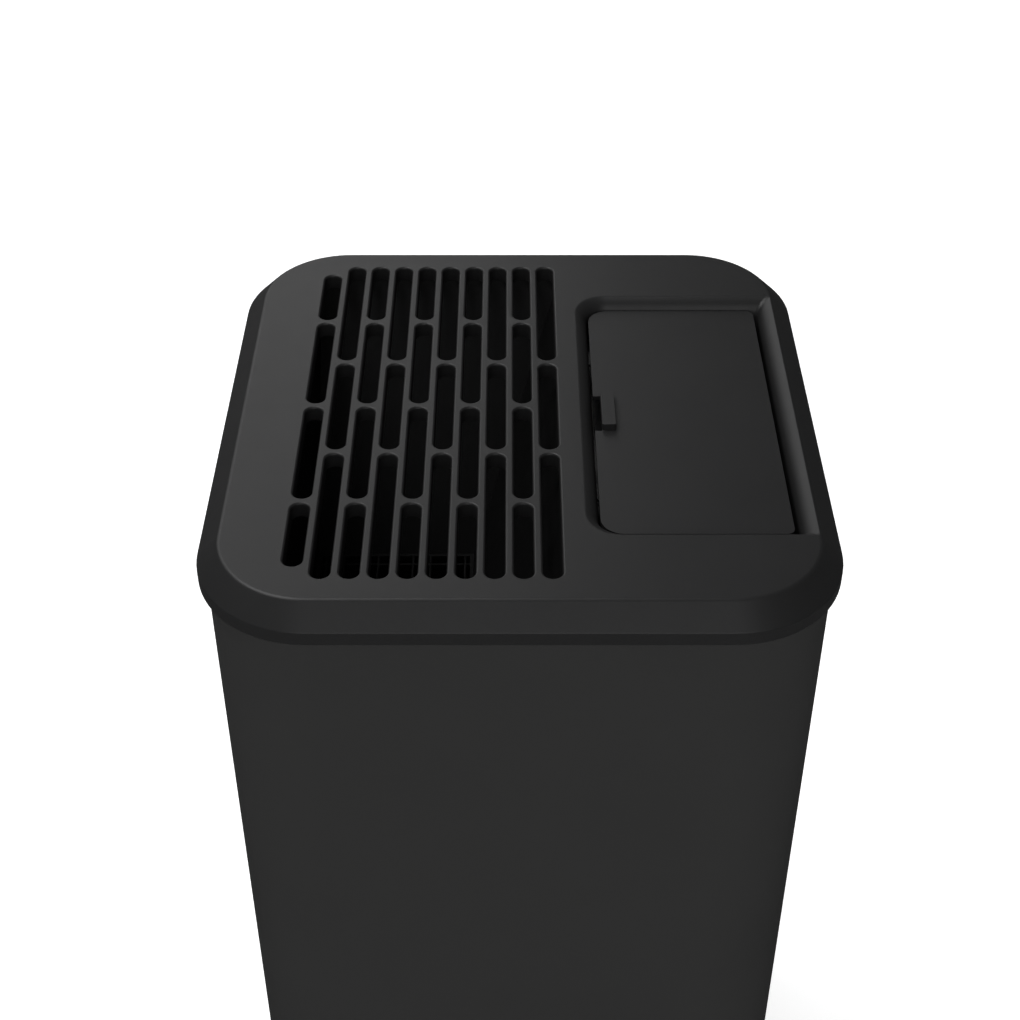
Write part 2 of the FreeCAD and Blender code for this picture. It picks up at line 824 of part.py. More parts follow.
def make_rear_door():
    """Door frame: hinge barrel, closed edges and the stile that holds the grip."""
    grille_x = door_axis_x + barrel_door
    face_y = door_outer - door_thick
    edge = upright_ring(door_axis_x, door_half, door_inner, door_outer, door_bottom, door_top,
                        door_edge_wall)
    hinge_stile = box(door_axis_x, grille_x, face_y, door_outer, door_bottom, door_top)
    stile = box(door_half - door_stile, door_half, door_inner, door_outer, door_bottom,
                door_top)
    bridge = grip_block(grip_depth + grip_bridge, grip_end_wall, door_inner, face_y)
    barrel = rod(barrel_door, point(door_axis_x, door_axis_y, door_bottom), door_height, Z_AXIS)
    door = fuse([edge, hinge_stile, stile, bridge, barrel])
    cuts = [grip_block(grip_depth, 0.0, door_inner, door_outer)]
    cuts += [magnet(z) for z in magnet_heights()]
    deep = door_pin_length - housing_wall - door_gap + 1.0
    bore = door_pin_radius + running_fit
    cuts.append(rod(bore, point(door_axis_x, door_axis_y, door_bottom - 1), deep + 1, Z_AXIS))
    cuts.append(rod(bore, point(door_axis_x, door_axis_y, door_top - deep), deep + 1, Z_AXIS))
    return door.cut(group(cuts)).removeSplitter()


def make_door_grille():
    """Flat slotted panel that fills the door frame."""
    plate = box(door_axis_x + barrel_door, door_half - door_stile, door_outer - door_thick,
                door_outer, door_bottom + door_edge_wall, door_top - door_edge_wall)
    cuts = door_slots() + [grip_block(grip_depth, 0.0, door_inner, door_outer)]
    return plate.cut(group(cuts)).removeSplitter()


def make_door_grip():
    """Block in the door's free edge, hollowed by a finger scoop."""
    scoop = rod(grip_radius, point(door_half + grip_aside, door_outer + grip_behind,
                                   filter_mid_z - grip_length / 2), grip_length, Z_AXIS)
    return grip_block(grip_depth, 0.0, door_inner, door_outer).cut(scoop)


def grip_block(depth, extra, y0, y1):
    """Space at the middle of the free edge, this deep and longer by extra at each end."""
    reach = grip_length / 2 + grip_end_wall + extra
    return box(door_half - depth, door_half, y0, y1, filter_mid_z - reach,
               filter_mid_z + reach)


def magnet(z):
    x1 = door_half - 1.0
    return box(x1 - magnet_width, x1, door_inner, door_inner + magnet_thick,
               z - magnet_length / 2, z + magnet_length / 2)


def make_door_parts():
    nodes["rear_door"] = make_rear_door()
    nodes["door_grille"] = make_door_grille()
    nodes["door_grip"] = make_door_grip()
    nodes["door_hinge_pins"] = group([rod(door_pin_radius, start, door_pin_length, Z_AXIS)
                                      for start in door_pin_starts()])
    nodes["door_magnets"] = group([magnet(z) for z in magnet_heights()])
    x1 = opening_half - 0.5
    nodes["striker_plates"] = group([
        box(x1 - 5.0, x1, door_inner - 2.0, door_inner - 1.0, z - magnet_length / 2,
            z + magnet_length / 2) for z in magnet_heights()])


def make_filter():
    a, b = filter_front, filter_rear - prefilter_thick
    nodes["filter_frame"] = upright_ring(-filter_half, filter_half, a, b, filter_low,
                                         filter_high, filter_wall)
    nodes["prefilter_frame"] = upright_ring(-filter_half, filter_half, b, filter_rear,
                                            filter_low, filter_high, prefilter_rim)
    inner = filter_half - prefilter_rim
    nodes["prefilter_mesh"] = box(-inner, inner, b + 2.0, b + 2.8, filter_low + prefilter_rim,
                                  filter_high - prefilter_rim)
    half = filter_half - filter_wall
    nodes["carbon_mat"] = box(-half, half, a + 1.0, a + 1.0 + carbon_thick,
                              filter_low + filter_wall, filter_high - filter_wall)
    nodes["filter_media"] = make_pleats(a + 1.0 + carbon_thick + 1.0)
    nodes["filter_seal"] = upright_ring(-filter_half, filter_half, a - seal_thick, a, filter_low,
                                        filter_high, seal_width)
    nodes["pull_strap"] = make_pull_strap()


def make_pleats(front):
    half = filter_half - filter_wall
    count = int(2 * half / pleat_pitch)
    step = 2 * half / (2 * count)
    tip = front + pleat_depth - pleat_band
    near = [point(-half + i * step, front if i % 2 else tip, 0) for i in range(2 * count + 1)]
    far = [p + point(0, pleat_band, 0) for p in reversed(near)]
    face = Part.Face(Part.makePolygon(near + far + near[:1]))
    low = filter_low + filter_wall
    solid = face.extrude(point(0, 0, filter_height - 2 * filter_wall))
    solid.translate(point(0, 0, low))
    return solid


def make_pull_strap():
    """Loop of webbing that stands a little off the filter's rear face."""
    low = filter_mid_z + 60.0

    def bow(offset):
        y = filter_rear + offset
        ends = point(0, y, low), point(0, y, low + strap_span)
        mid = point(0, y + strap_rise - strap_thick, low + strap_span / 2)
        return ends, Part.Arc(ends[0], mid, ends[1]).toShape()

    (a0, a1), lower = bow(0.0)
    (b0, b1), upper = bow(strap_thick)
    sides = [Part.LineSegment(a0, b0).toShape(), Part.LineSegment(a1, b1).toShape()]
    face = Part.Face(Part.Wire(Part.__sortEdges__([lower, upper] + sides)))
    strap = face.extrude(point(strap_width, 0, 0))
    strap.translate(point(filter_half - prefilter_rim - strap_width, 0, 0))
    return strap


# Blower

def scroll_point(angle, offset):
    share = (tongue_angle - angle) / (tongue_angle + 180.0)
    r = scroll_start + offset + scroll_growth * share
    a = math.radians(angle)
    return r * math.cos(a) + fan_x, r * math.sin(a) + fan_z


def scroll_prism(offset, y0, y1, top):
    """Spiral casing outline with its upright outlet, offset outwards, run from y0 to y1."""
    side = tongue_x + offset
    first = math.degrees(math.acos((side - fan_x) / (scroll_start + offset)))
    steps = 24
    angles = [first + (-180.0 - first) * i / steps for i in range(steps + 1)]
    spiral = [point(x, y0, z) for x, z in (scroll_point(a, offset) for a in angles)]
    curve = Part.BSplineCurve()
    curve.interpolate(spiral)
    left = spiral[-1]
    corner_left = point(left.x, y0, top)
    corner_right = point(spiral[0].x, y0, top)
    edges = [curve.toShape()]
    for a, b in ((left, corner_left), (corner_left, corner_right), (corner_right, spiral[0])):
        edges.append(Part.LineSegment(a, b).toShape())
    face = Part.Face(Part.Wire(edges))
    return face.extrude(point(0, y1 - y0, 0))


lug_angles = (70.0, 10.0, -50.0, -110.0, -165.0)


def lug_points():
    return [scroll_point(a, scroll_wall + screw_head + 0.6) for a in lug_angles]


def motor_mount_points():
    reach = motor_radius + mount_inset
    angles = [math.radians(a) for a in (45, 135, 225, 315)]
    return [(fan_x + reach * math.cos(a), fan_z + reach * math.sin(a)) for a in angles]


def make_scroll():
    w = scroll_wall
    front, mid, rear = scroll_front_y, scroll_mid_y, scroll_rear_y
    hollow = scroll_prism(0.0, front + w, rear - w, outlet_z + 1)
    halves = {"scroll_front": (front, mid), "scroll_rear": (mid, rear)}
    for name, (y0, y1) in halves.items():
        half = scroll_prism(w, y0, y1, outlet_z)
        near, far = max(y0, mid - 6), min(y1, mid + 6)
        lugs = [rod(5.5, point(x, near, z), far - near, Y_AXIS) for x, z in lug_points()]
        half = half.multiFuse(lugs).cut(hollow)
        holes = [rod(screw_radius, point(x, near - 1, z), 14, Y_AXIS) for x, z in lug_points()]
        if name == "scroll_front":
            holes.append(rod(motor_radius * 0.6, point(fan_x, front - 1, fan_z), w + 2, Y_AXIS))
            for x, z in motor_mount_points():
                holes.append(rod(4.0, point(x, front - 1, z), w + 2, Y_AXIS))
        else:
            holes.append(rod(inlet_radius + inlet_flare, point(fan_x, rear - w - 1, fan_z), w + 2,
                             Y_AXIS))
            for x, z in blower_screw_points():
                holes.append(rod(screw_radius, point(x, rear - w - 1, z), w + 2, Y_AXIS))
        nodes[name] = half.cut(group(holes)).removeSplitter()
    nodes["scroll_screws"] = group([screw(2.0, point(x, mid - 6, z), Y_AXIS, 12.0)
                                    for x, z in lug_points()])
    nodes["blower_screws"] = group([
        screw(2.0, point(x, rear + housing_wall, z), -Y_AXIS, housing_wall + w)
        for x, z in blower_screw_points()])


def make_inlet_ring():
    """Bell mouth that leads the air into the wheel."""
    rear = scroll_rear_y
    tip = rear - scroll_wall - inlet_flare
    wall = 1.6
    r0 = inlet_radius
    r1 = inlet_radius + inlet_flare

    def arc(extra):
        a = point(r0 + extra, tip, 0)
        b = point(r1, rear - extra, 0)
        span = (r1 - r0 - extra, rear - extra - tip)
        bend = point(r1 - span[0] * math.cos(math.pi / 4), tip + span[1] * math.sin(math.pi / 4), 0)
        return a, b, Part.Arc(a, bend, b).toShape()

    a0, b0, inner = arc(0.0)
    a1, b1, outer = arc(wall)
    edges = [inner, outer, Part.LineSegment(a0, a1).toShape(), Part.LineSegment(b0, b1).toShape()]
    face = Part.Face(Part.Wire(Part.__sortEdges__(edges)))
    ring = face.revolve(point(0, 0, 0), Y_AXIS, 360)
    ring.translate(point(fan_x, 0, fan_z))
    return ring


def blade_outline(inner, outer, turn):
    """Forward-curved blade section in the XZ plane, as two arcs."""
    def polar(r, degrees):
        a = math.radians(degrees + turn)
        return point(r * math.cos(a), 0, r * math.sin(a))

    lean = 7.0
    bow = -1.6
    middle = (inner + outer) / 2
    thick = math.degrees(blade_thick / middle)
    near = Part.Arc(polar(inner, 0), polar(middle, bow), polar(outer, -lean))
    far = Part.Arc(polar(inner, thick), polar(middle, bow + thick),
                   polar(outer, thick - lean))
    ends = [Part.LineSegment(polar(inner, 0), polar(inner, thick)),
            Part.LineSegment(polar(outer, -lean), polar(outer, thick - lean))]
    edges = [near.toShape(), far.toShape()] + [end.toShape() for end in ends]
    return Part.Face(Part.Wire(Part.__sortEdges__(edges)))


def make_impeller():
    y0 = impeller_front
    y1 = y0 + impeller_depth
    inner = impeller_inner
    plate = rod(impeller_radius, point(0, y0, 0), impeller_plate, Y_AXIS)
    hub = rod(hub_radius, point(0, y0, 0), 26.0, Y_AXIS)
    ring = rod(impeller_radius, point(0, y1 - impeller_plate, 0), impeller_plate, Y_AXIS)
    ring = ring.cut(rod(inner, point(0, y1 - impeller_plate - 1, 0), impeller_plate + 2, Y_AXIS))
    blades = []
    for i in range(blade_count):
        face = blade_outline(inner + 0.5, impeller_radius - 0.5, 360.0 * i / blade_count)
        blade = face.extrude(point(0, impeller_depth - impeller_plate, 0))
        blade.translate(point(0, y0 + impeller_plate / 2, 0))
        blades.append(blade)
    wheel = plate.multiFuse([hub, ring] + blades)
    wheel = wheel.cut(rod(axle_radius, point(0, y0 - 1, 0), 28.0, Y_AXIS))
    wheel.translate(point(fan_x, 0, fan_z))
    return wheel.removeSplitter()


def sleeve(inner, outer, y0, y1):
    ring = rod(outer, point(fan_x, y0, fan_z), y1 - y0, Y_AXIS)
    return ring.cut(rod(inner, point(fan_x, y0 - 1, fan_z), y1 - y0 + 2, Y_AXIS))


def make_motor():
    back, front, wall = motor_back, motor_front, motor_wall
    bearing = bearing_radius
    can = rod(motor_radius, point(fan_x, front, fan_z), motor_length, Y_AXIS)
    can = can.cut(rod(motor_radius - wall, point(fan_x, front + wall, fan_z),
                      motor_length - 2 * wall, Y_AXIS))
    cups = [sleeve(bearing, bearing + 2, front, front + bearing_length + wall),
            sleeve(bearing, bearing + 2, back - bearing_length - wall, back)]
    half = motor_flange / 2
    flange = box(fan_x - half, fan_x + half, back - wall, back, fan_z - half, fan_z + half)
    flange = flange.cut(rod(bearing, point(fan_x, back - wall - 1, fan_z), wall + 2, Y_AXIS))
    can = can.cut(rod(bearing, point(fan_x, front - 1, fan_z), motor_length + 2, Y_AXIS))
    holes = [rod(2.5, point(x, back - wall - 1, z), wall + 2, Y_AXIS)
             for x, z in motor_mount_points()]
    nodes["motor_housing"] = can.multiFuse(cups + [flange]).cut(group(holes)).removeSplitter()
    starts = (front + 1, back - 1 - bearing_length)
    nodes["axle_bearings"] = group([sleeve(axle_radius + running_fit, bearing, y,
                                           y + bearing_length) for y in starts])
    inner = (front + wall + bearing_length + 2.5, back - wall - bearing_length - 2.5)
    nodes["motor_stator"] = sleeve(24.0, motor_radius - wall, inner[0], inner[1])
    nodes["motor_rotor"] = sleeve(axle_radius, 23.0, inner[0], inner[1])
    shaft_end = impeller_front + 24.0
    nodes["motor_shaft"] = rod(axle_radius, point(fan_x, front - 4, fan_z),
                               shaft_end - front + 4, Y_AXIS)
    mounts = []
    for x, z in motor_mount_points():
        spool = rod(mount_radius, point(x, back, z), scroll_front_y - back, Y_AXIS)
        pin = rod(2.5, point(x, back - wall, z), wall, Y_AXIS)
        tail = rod(4.0, point(x, scroll_front_y, z), scroll_wall, Y_AXIS)
        mounts.append(fuse([spool, pin, tail]))
    nodes["motor_mounts"] = group(mounts)


# Air outlet

def rect_wire(x0, x1, y0, y1, z):
    corners = [point(x0, y0, z), point(x1, y0, z), point(x1, y1, z), point(x0, y1, z)]
    return Part.makePolygon(corners + corners[:1])


def make_outlet():
    w = duct_wall
    low, knee, top = outlet_z, duct_knee, grille_low
    y0 = scroll_front_y + scroll_wall
    y1 = scroll_rear_y - scroll_wall
    reach = grille_half_depth + 4.0
    left, right = grille_left - 4.0, grille_right + 4.0

    def passage(grow, extra):
        riser = box(outlet_left - grow, tongue_x + grow, y0 - grow, y1 + grow, low - extra, knee)
        bottom = rect_wire(outlet_left - grow, tongue_x + grow, y0 - grow, y1 + grow, knee)
        rim = rect_wire(left - grow, right + grow, -reach - grow, reach + grow, top)
        flare = Part.makeLoft([bottom, rim], True, True)
        solids = [riser, flare]
        if extra:
            solids.append(box(left, right, -reach, reach, top, top + extra))
        return fuse(solids)

    nodes["outlet_duct"] = passage(w, 0).cut(passage(0.0, 1.0)).removeSplitter()
    nodes["outlet_guard"] = outlet_guard(y0, y1)


def outlet_guard(y0, y1):
    """Frame with crossed bars that keeps fingers off the wheel, low in the duct."""
    w, half = duct_wall, guard_bar / 2
    low, high = duct_knee - guard_height, duct_knee
    x0, x1 = outlet_left, tongue_x
    rim = box(x0, x1, y0, y1, low, high)
    bars = [rim.cut(box(x0 + w, x1 - w, y0 + w, y1 - w, low - 1, high + 1))]
    for i in range(guard_columns):
        x = x0 + (x1 - x0) * (i + 0.5) / guard_columns
        bars.append(box(x - half, x + half, y0, y1, low, high))
    for i in range(guard_rows):
        y = y0 + (y1 - y0) * (i + 0.5) / guard_rows
        bars.append(box(x0, x1, y - half, y + half, low, high))
    return fuse(bars)


# Power supply and wiring

def make_power():
    x0, x1 = -supply_width / 2, supply_width / 2
    y0, y1 = supply_front, supply_rear
    w, top = supply_wall, supply_board_top
    nodes["power_board"] = box(x0 + 2 * w, x1 - 2 * w, y0 + 2 * w, y1 - 2 * w, supply_low, top)
    mid_y = (y0 + y1) / 2
    coil = board_part(x0 + 12, mid_y - 22, coil_size)
    sink = board_part(x1 - 32, mid_y - 22, sink_size)
    socket = board_part(x1 - 22, mid_y - 4, plug_block_size)
    caps = [rod(capacitor_radius, point(i * capacitor_pitch, mid_y - 4, top), capacitor_height,
                Z_AXIS) for i in range(2)]
    nodes["power_components"] = group([coil, sink, socket] + caps)
    hood = box(x0, x1, y0, y1, floor_top, supply_top)
    hood = hood.cut(box(x0 + w, x1 - w, y0 + w, y1 - w, floor_top - 1, supply_top - w))
    shelf = box(x0 + w, x1 - w, y0 + w, y1 - w, supply_low - 2, supply_low)
    shelf = shelf.cut(box(x0 + 3 * w, x1 - 3 * w, y0 + 3 * w, y1 - 3 * w, supply_low - 3,
                          supply_low + 1))
    ways = [box(x1 - 18, x1 - 8, y1 - w - 1, y1 + 1, supply_low - 5, top + 12)]
    for x in (-lead_port_x, lead_port_x):
        ways.append(rod(lead_radius + 2 * fit, point(x, lead_port_y(), supply_top - w - 1), 4,
                        Z_AXIS))
    nodes["power_cover"] = fuse([hood, shelf]).cut(group(ways))


def board_part(x, y, size):
    return box(x, x + size[0], y, y + size[1], supply_board_top, supply_board_top + size[2])


def lead_port_y():
    """Where the leads enter the hood: over the supply, and ahead of the blower."""
    return min(supply_rear - lead_port_inset, scroll_front_y - lead_radius - duct_clearance)


def make_inlet():
    """Recessed two-pin socket in the rear of the base."""
    y0 = shell_half_d - socket_deep
    r = socket_radius
    half = pin_spacing / 2
    outer = inlet_outline(0.0, shell_half_d - inlet_deep, shell_half_d)
    socket = [box(inlet_x - half, inlet_x + half, y0, shell_half_d + 1, inlet_z - r, inlet_z + r)]
    pins = []
    for x in (inlet_x - half, inlet_x + half):
        socket.append(rod(r, point(x, y0, inlet_z), socket_deep + 1, Y_AXIS))
        pins.append(rod(pin_radius, point(x, y0 - 3, inlet_z), pin_length + 3, Y_AXIS))
    nodes["mains_inlet"] = outer.cut(fuse(socket)).cut(group(pins)).removeSplitter()
    nodes["mains_pins"] = group(pins)


def lead(points, radius, bend):
    """Round lead along straight runs joined by tangent arcs."""
    edges = []
    here = points[0]
    for before, corner, after in zip(points, points[1:], points[2:]):
        to_corner = (corner - before).normalize()
        onward = (after - corner).normalize()
        turn = math.acos(max(-1.0, min(1.0, to_corner.dot(onward))))
        reach = bend * math.tan(turn / 2)
        start = corner - to_corner * reach
        end = corner + onward * reach
        middle = corner + (onward - to_corner).normalize() * bend * (1 / math.cos(turn / 2) - 1)
        edges.append(Part.LineSegment(here, start).toShape())
        edges.append(Part.Arc(start, middle, end).toShape())
        here = end
    edges.append(Part.LineSegment(here, points[-1]).toShape())
    path = Part.Wire(edges)
    way = (points[1] - points[0]).normalize()
    section = Part.Wire([Part.Circle(points[0], way, radius).toShape()])
    return path.makePipeShell([section], True, False)


def make_leads():
    x, y = lead_port_x, lead_port_y()
    hood_in = supply_top - 3.0
    side_x = shell_in_w - 32.0
    tray_y = y + 14.0
    nodes["control_lead"] = lead([
        point(side_x - 10, tray_y, tray_low), point(side_x - 10, tray_y, tray_low - 60),
        point(side_x, y - 10, tray_low - 120), point(side_x, y - 10, supply_top + 90),
        point(x, y, supply_top + 60), point(x, y, hood_in)], lead_radius, lead_bend)
    motor_y = (motor_front + motor_back) / 2
    motor_low = fan_z - motor_radius
    nodes["motor_lead"] = lead([
        point(fan_x, motor_y, motor_low), point(fan_x, motor_y, motor_low - 37),
        point(-x, y, motor_low - 82), point(-x, y, hood_in)], lead_radius, lead_bend)
    inlet_y = shell_half_d - inlet_deep
    board_x = supply_width / 2 - 13.0
    board_z = floor_top + lead_radius + 8.0
    nodes["mains_lead"] = lead([
        point(inlet_x, inlet_y, inlet_z), point(inlet_x, inlet_y - 24, inlet_z),
        point(board_x, shell_half_d / 2 - 17, board_z), point(board_x, supply_rear - 1, board_z)],
        lead_radius, lead_bend)


def build():
    nodes["top_cover"] = make_top_cover()
    nodes["control_flap"] = make_control_flap()
    nodes["flap_hinge_rod"] = make_flap_hinge_rod()
    make_controls()
    nodes["body_shell"] = make_body_shell()
    make_base()
    make_rails()
    nodes["filter_housing"] = make_filter_housing()
    nodes["filter_seat"] = make_filter_seat()
    make_door_parts()
    make_filter()
    make_scroll()
    nodes["inlet_ring"] = make_inlet_ring()
    nodes["impeller"] = make_impeller()
    make_motor()
    make_outlet()
    make_power()
    make_inlet()
    make_leads()


build()
os.makedirs("parts", exist_ok=True)
for name, shape in nodes.items():
    shape.exportStep("parts/" + name + ".step")
    print(name, len(shape.Solids), shape.isValid(), round(shape.Volume / 1000, 1))
print(len(nodes), "nodes")
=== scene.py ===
import json
import math

import bmesh
import bpy
from mathutils import Matrix, Vector

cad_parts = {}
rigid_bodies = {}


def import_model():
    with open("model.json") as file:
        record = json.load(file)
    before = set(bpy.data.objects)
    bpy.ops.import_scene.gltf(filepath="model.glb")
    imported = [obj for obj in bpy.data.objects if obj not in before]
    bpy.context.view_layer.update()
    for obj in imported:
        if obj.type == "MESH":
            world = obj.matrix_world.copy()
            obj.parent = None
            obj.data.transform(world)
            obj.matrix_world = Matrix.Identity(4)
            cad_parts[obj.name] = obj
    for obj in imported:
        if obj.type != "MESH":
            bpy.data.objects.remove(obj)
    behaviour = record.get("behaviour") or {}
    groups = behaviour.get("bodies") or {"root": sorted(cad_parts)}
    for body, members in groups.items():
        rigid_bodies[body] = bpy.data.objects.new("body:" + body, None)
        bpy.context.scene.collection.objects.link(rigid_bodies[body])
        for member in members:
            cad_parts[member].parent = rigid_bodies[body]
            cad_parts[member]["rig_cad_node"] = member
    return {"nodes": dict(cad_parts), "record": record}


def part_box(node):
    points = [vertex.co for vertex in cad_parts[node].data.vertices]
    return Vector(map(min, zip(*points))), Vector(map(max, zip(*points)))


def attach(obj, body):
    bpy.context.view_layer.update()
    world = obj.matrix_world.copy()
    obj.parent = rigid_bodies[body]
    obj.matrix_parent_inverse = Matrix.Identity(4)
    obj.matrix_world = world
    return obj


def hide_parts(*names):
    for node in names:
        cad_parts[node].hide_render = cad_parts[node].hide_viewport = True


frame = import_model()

for thing in list(bpy.data.objects):   # a new file's own cube, lamp and camera
    if "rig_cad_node" not in thing and not thing.name.startswith("body:"):
        bpy.data.objects.remove(thing)
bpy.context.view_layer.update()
nodes = frame["nodes"]
mm = 0.001
print("frame loaded:", len(nodes), "nodes")


# Shader maths: a socket that can be added, subtracted and multiplied

class Wire:
    def __init__(self, finish, socket):
        self.finish = finish
        self.socket = socket

    def calc(self, operation, other):
        return self.finish.add("ShaderNodeMath", {"operation": operation}, {0: self, 1: other})

    def __add__(self, other):
        return self.calc("ADD", other)

    def __sub__(self, other):
        return self.calc("SUBTRACT", other)

    def __mul__(self, other):
        return self.calc("MULTIPLY", other)


class Finish:
    def __init__(self, name, specular=0.5):
        self.material = bpy.data.materials.new(name)
        self.material.use_nodes = True
        self.tree = self.material.node_tree
        self.tree.nodes.clear()
        self.shader = self.tree.nodes.new("ShaderNodeBsdfPrincipled")
        self.shader.inputs["Specular IOR Level"].default_value = specular
        output = self.tree.nodes.new("ShaderNodeOutputMaterial")
        self.tree.links.new(self.shader.outputs[0], output.inputs["Surface"])

    def add(self, kind, settings=None, sockets=None, out=0):
        node = self.tree.nodes.new(kind)
        for key, value in (settings or {}).items():
            if key == "stops":
                self.setStops(node.color_ramp, value)
            else:
                setattr(node, key, value)
        for key, value in (sockets or {}).items():
            self.feed(node.inputs[key], value)
        return Wire(self, node.outputs[out])

    def setStops(self, ramp, stops):
        while len(ramp.elements) < len(stops):
            ramp.elements.new(0.5)
        for element, (place, level) in zip(ramp.elements, stops):
            element.position = place
            element.color = (level, level, level, 1.0)

    def feed(self, socket, value):
        if isinstance(value, Wire):
            self.tree.links.new(value.socket, socket)
        else:
            socket.default_value = value

    def give(self, **values):
        for key, value in values.items():
            self.feed(self.shader.inputs[key.replace("_", " ")], value)

    def place(self, scale=(1.0, 1.0, 1.0)):
        spot = self.add("ShaderNodeTexCoord", out="Object")
        return self.add("ShaderNodeMapping", {}, {"Vector": spot, "Scale": scale})

    def grain(self, size, detail=2.0, rough=0.5, scale=(1.0, 1.0, 1.0)):
        return self.add("ShaderNodeTexNoise", {}, {
            "Vector": self.place(scale), "Scale": 1 / size, "Detail": detail, "Roughness": rough})

    def cells(self, size, scale=(1.0, 1.0, 1.0)):
        return self.add("ShaderNodeTexVoronoi", {}, {"Vector": self.place(scale), "Scale": 1 / size})

    def ramp(self, value, stops):
        return self.add("ShaderNodeValToRGB", {"stops": stops}, {"Fac": value})

    def tint(self, share, dark, light):
        return self.add("ShaderNodeMix", {"data_type": "RGBA"}, {
            "Factor": share, 6: (*dark, 1.0), 7: (*light, 1.0)}, 2)

    def bump(self, height, depth, strength=1.0, under=None):
        sockets = {"Height": height, "Distance": depth, "Strength": strength}
        if under:
            sockets["Normal"] = under
        return self.add("ShaderNodeBump", {}, sockets)


# Finishes

def shades(colour, low, high):
    return [c * low for c in colour], [c * high for c in colour]


def mouldedPlastic(name, colour, shine, grainSize=0.45 * mm, grainDepth=0.03 * mm, specular=0.15):
    # spark-eroded texture: fine grain over small pits, slow cloudy unevenness, edges polished by
    # rubbing and lighter in colour as a painted highlight
    f = Finish(name, specular)
    fine = f.grain(grainSize, 3.0, 0.65)
    pits = f.cells(grainSize * 1.7)
    cloud = f.grain(38 * mm, 3.0)
    rub = f.grain(9 * mm, 4.0, 0.6)
    # convex edges are lighter in the base colour: a painted highlight; their lower roughness is
    # rubbed wear
    edge = f.ramp(f.add("ShaderNodeNewGeometry", out="Pointiness"), [(0.5, 0.0), (0.56, 1.0)])
    tone = fine * 0.5 + cloud * 0.3 + edge * 0.15 + 0.1
    f.give(Base_Color=f.tint(tone, *shades(colour, 0.8, 1.2)),
           Roughness=rub * 0.08 + cloud * 0.06 + fine * 0.05 - edge * 0.04 + (shine - 0.1),
           Normal=f.bump(pits, grainDepth, 0.35, f.bump(fine, grainDepth)))
    return f.material


def powderCoat(name, colour, shine, specular):
    # baked paint: orange peel with a finer speckle in it, and a painted highlight along its edges
    f = Finish(name, specular)
    peel = f.grain(1.6 * mm, 1.5, 0.4)
    speck = f.grain(0.4 * mm, 2.0, 0.6)
    cloud = f.grain(60 * mm, 2.0)
    # convex edges are lighter in the base colour: a painted highlight
    edge = f.ramp(f.add("ShaderNodeNewGeometry", out="Pointiness"), [(0.5, 0.0), (0.56, 1.0)])
    f.give(Base_Color=f.tint(speck * 0.5 + cloud * 0.3 + edge * 0.2, *shades(colour, 0.85, 1.15)),
           Roughness=cloud * 0.07 + speck * 0.08 + (shine - 0.08),
           Normal=f.bump(speck, 0.015 * mm, 0.6, f.bump(peel, 0.03 * mm, 0.5)))
    return f.material


def plainMetal(name, colour, spangle, lathed=False):
    # spangled where spangle is large, and with turning marks round Y where it was turned
    f = Finish(name)
    flakes = f.cells(spangle)
    lines = f.grain(0.4 * mm, 3.0, 0.6, (1.0, 0.04, 1.0) if lathed else (1.0, 1.0, 1.0))
    cloud = f.grain(18 * mm, 3.0)
    f.give(Base_Color=f.tint(flakes * 0.6 + lines * 0.3 + cloud * 0.2, *shades(colour, 0.65, 1.0)),
           Metallic=1.0, Roughness=flakes * 0.15 + lines * 0.15 + cloud * 0.1 + 0.22,
           Normal=f.bump(lines, 0.02 * mm, 0.5))
    return f.material


def fibres(name, dark, light, thread, depth, shine=0.9, scale=(1.0, 1.0, 1.0)):
    # felt, foam, webbing, paper and card: threads over a cloudy ground
    f = Finish(name, 0.2)
    strand = f.grain(thread, 4.0, 0.7, scale)
    cell = f.cells(thread * 2.2, scale)
    cloud = f.grain(25 * mm, 3.0)
    f.give(Base_Color=f.tint(strand * 0.5 + cell * 0.3 + cloud * 0.25 - 0.05, dark, light),
           Roughness=strand * 0.12 + (shine - 0.08), Normal=f.bump(strand + cell * 0.5, depth))
    f.shader.inputs["Sheen Weight"].default_value = 0.15
    return f.material


def solderMask(name):
    f = Finish(name)
    track = f.add("ShaderNodeTexBrick", {}, {
        "Vector": f.place(), "Scale": 1 / (9 * mm), "Mortar Size": 0.03, "Brick Width": 0.7}, 1)
    speck = f.grain(0.6 * mm)
    cloud = f.grain(14 * mm, 3.0)
    f.give(Base_Color=f.tint(track * 0.6 + speck * 0.2 + cloud * 0.1, (0.004, 0.045, 0.018),
                             (0.02, 0.13, 0.05)),
           Roughness=speck * 0.15 + cloud * 0.1 + 0.25, Normal=f.bump(track, 0.04 * mm))
    return f.material


def smokedLens(name):
    f = Finish(name)
    haze = f.grain(3 * mm, 4.0)
    swirl = f.grain(20 * mm)
    f.give(Base_Color=f.tint(swirl, (0.003, 0.003, 0.004), (0.008, 0.008, 0.01)),
           Roughness=haze * 0.06 + swirl * 0.04 + 0.03, Normal=f.bump(haze, 0.01 * mm, 0.2))
    return f.material


def frostedLens(name):
    f = Finish(name)
    frost = f.grain(0.3 * mm, 3.0)
    cloud = f.grain(2 * mm)
    f.give(Base_Color=f.tint(frost * 0.5 + cloud * 0.4, (0.45, 0.48, 0.52), (0.75, 0.78, 0.8)),
           Roughness=frost * 0.2 + 0.3, Normal=f.bump(frost, 0.02 * mm, 0.4))
    return f.material


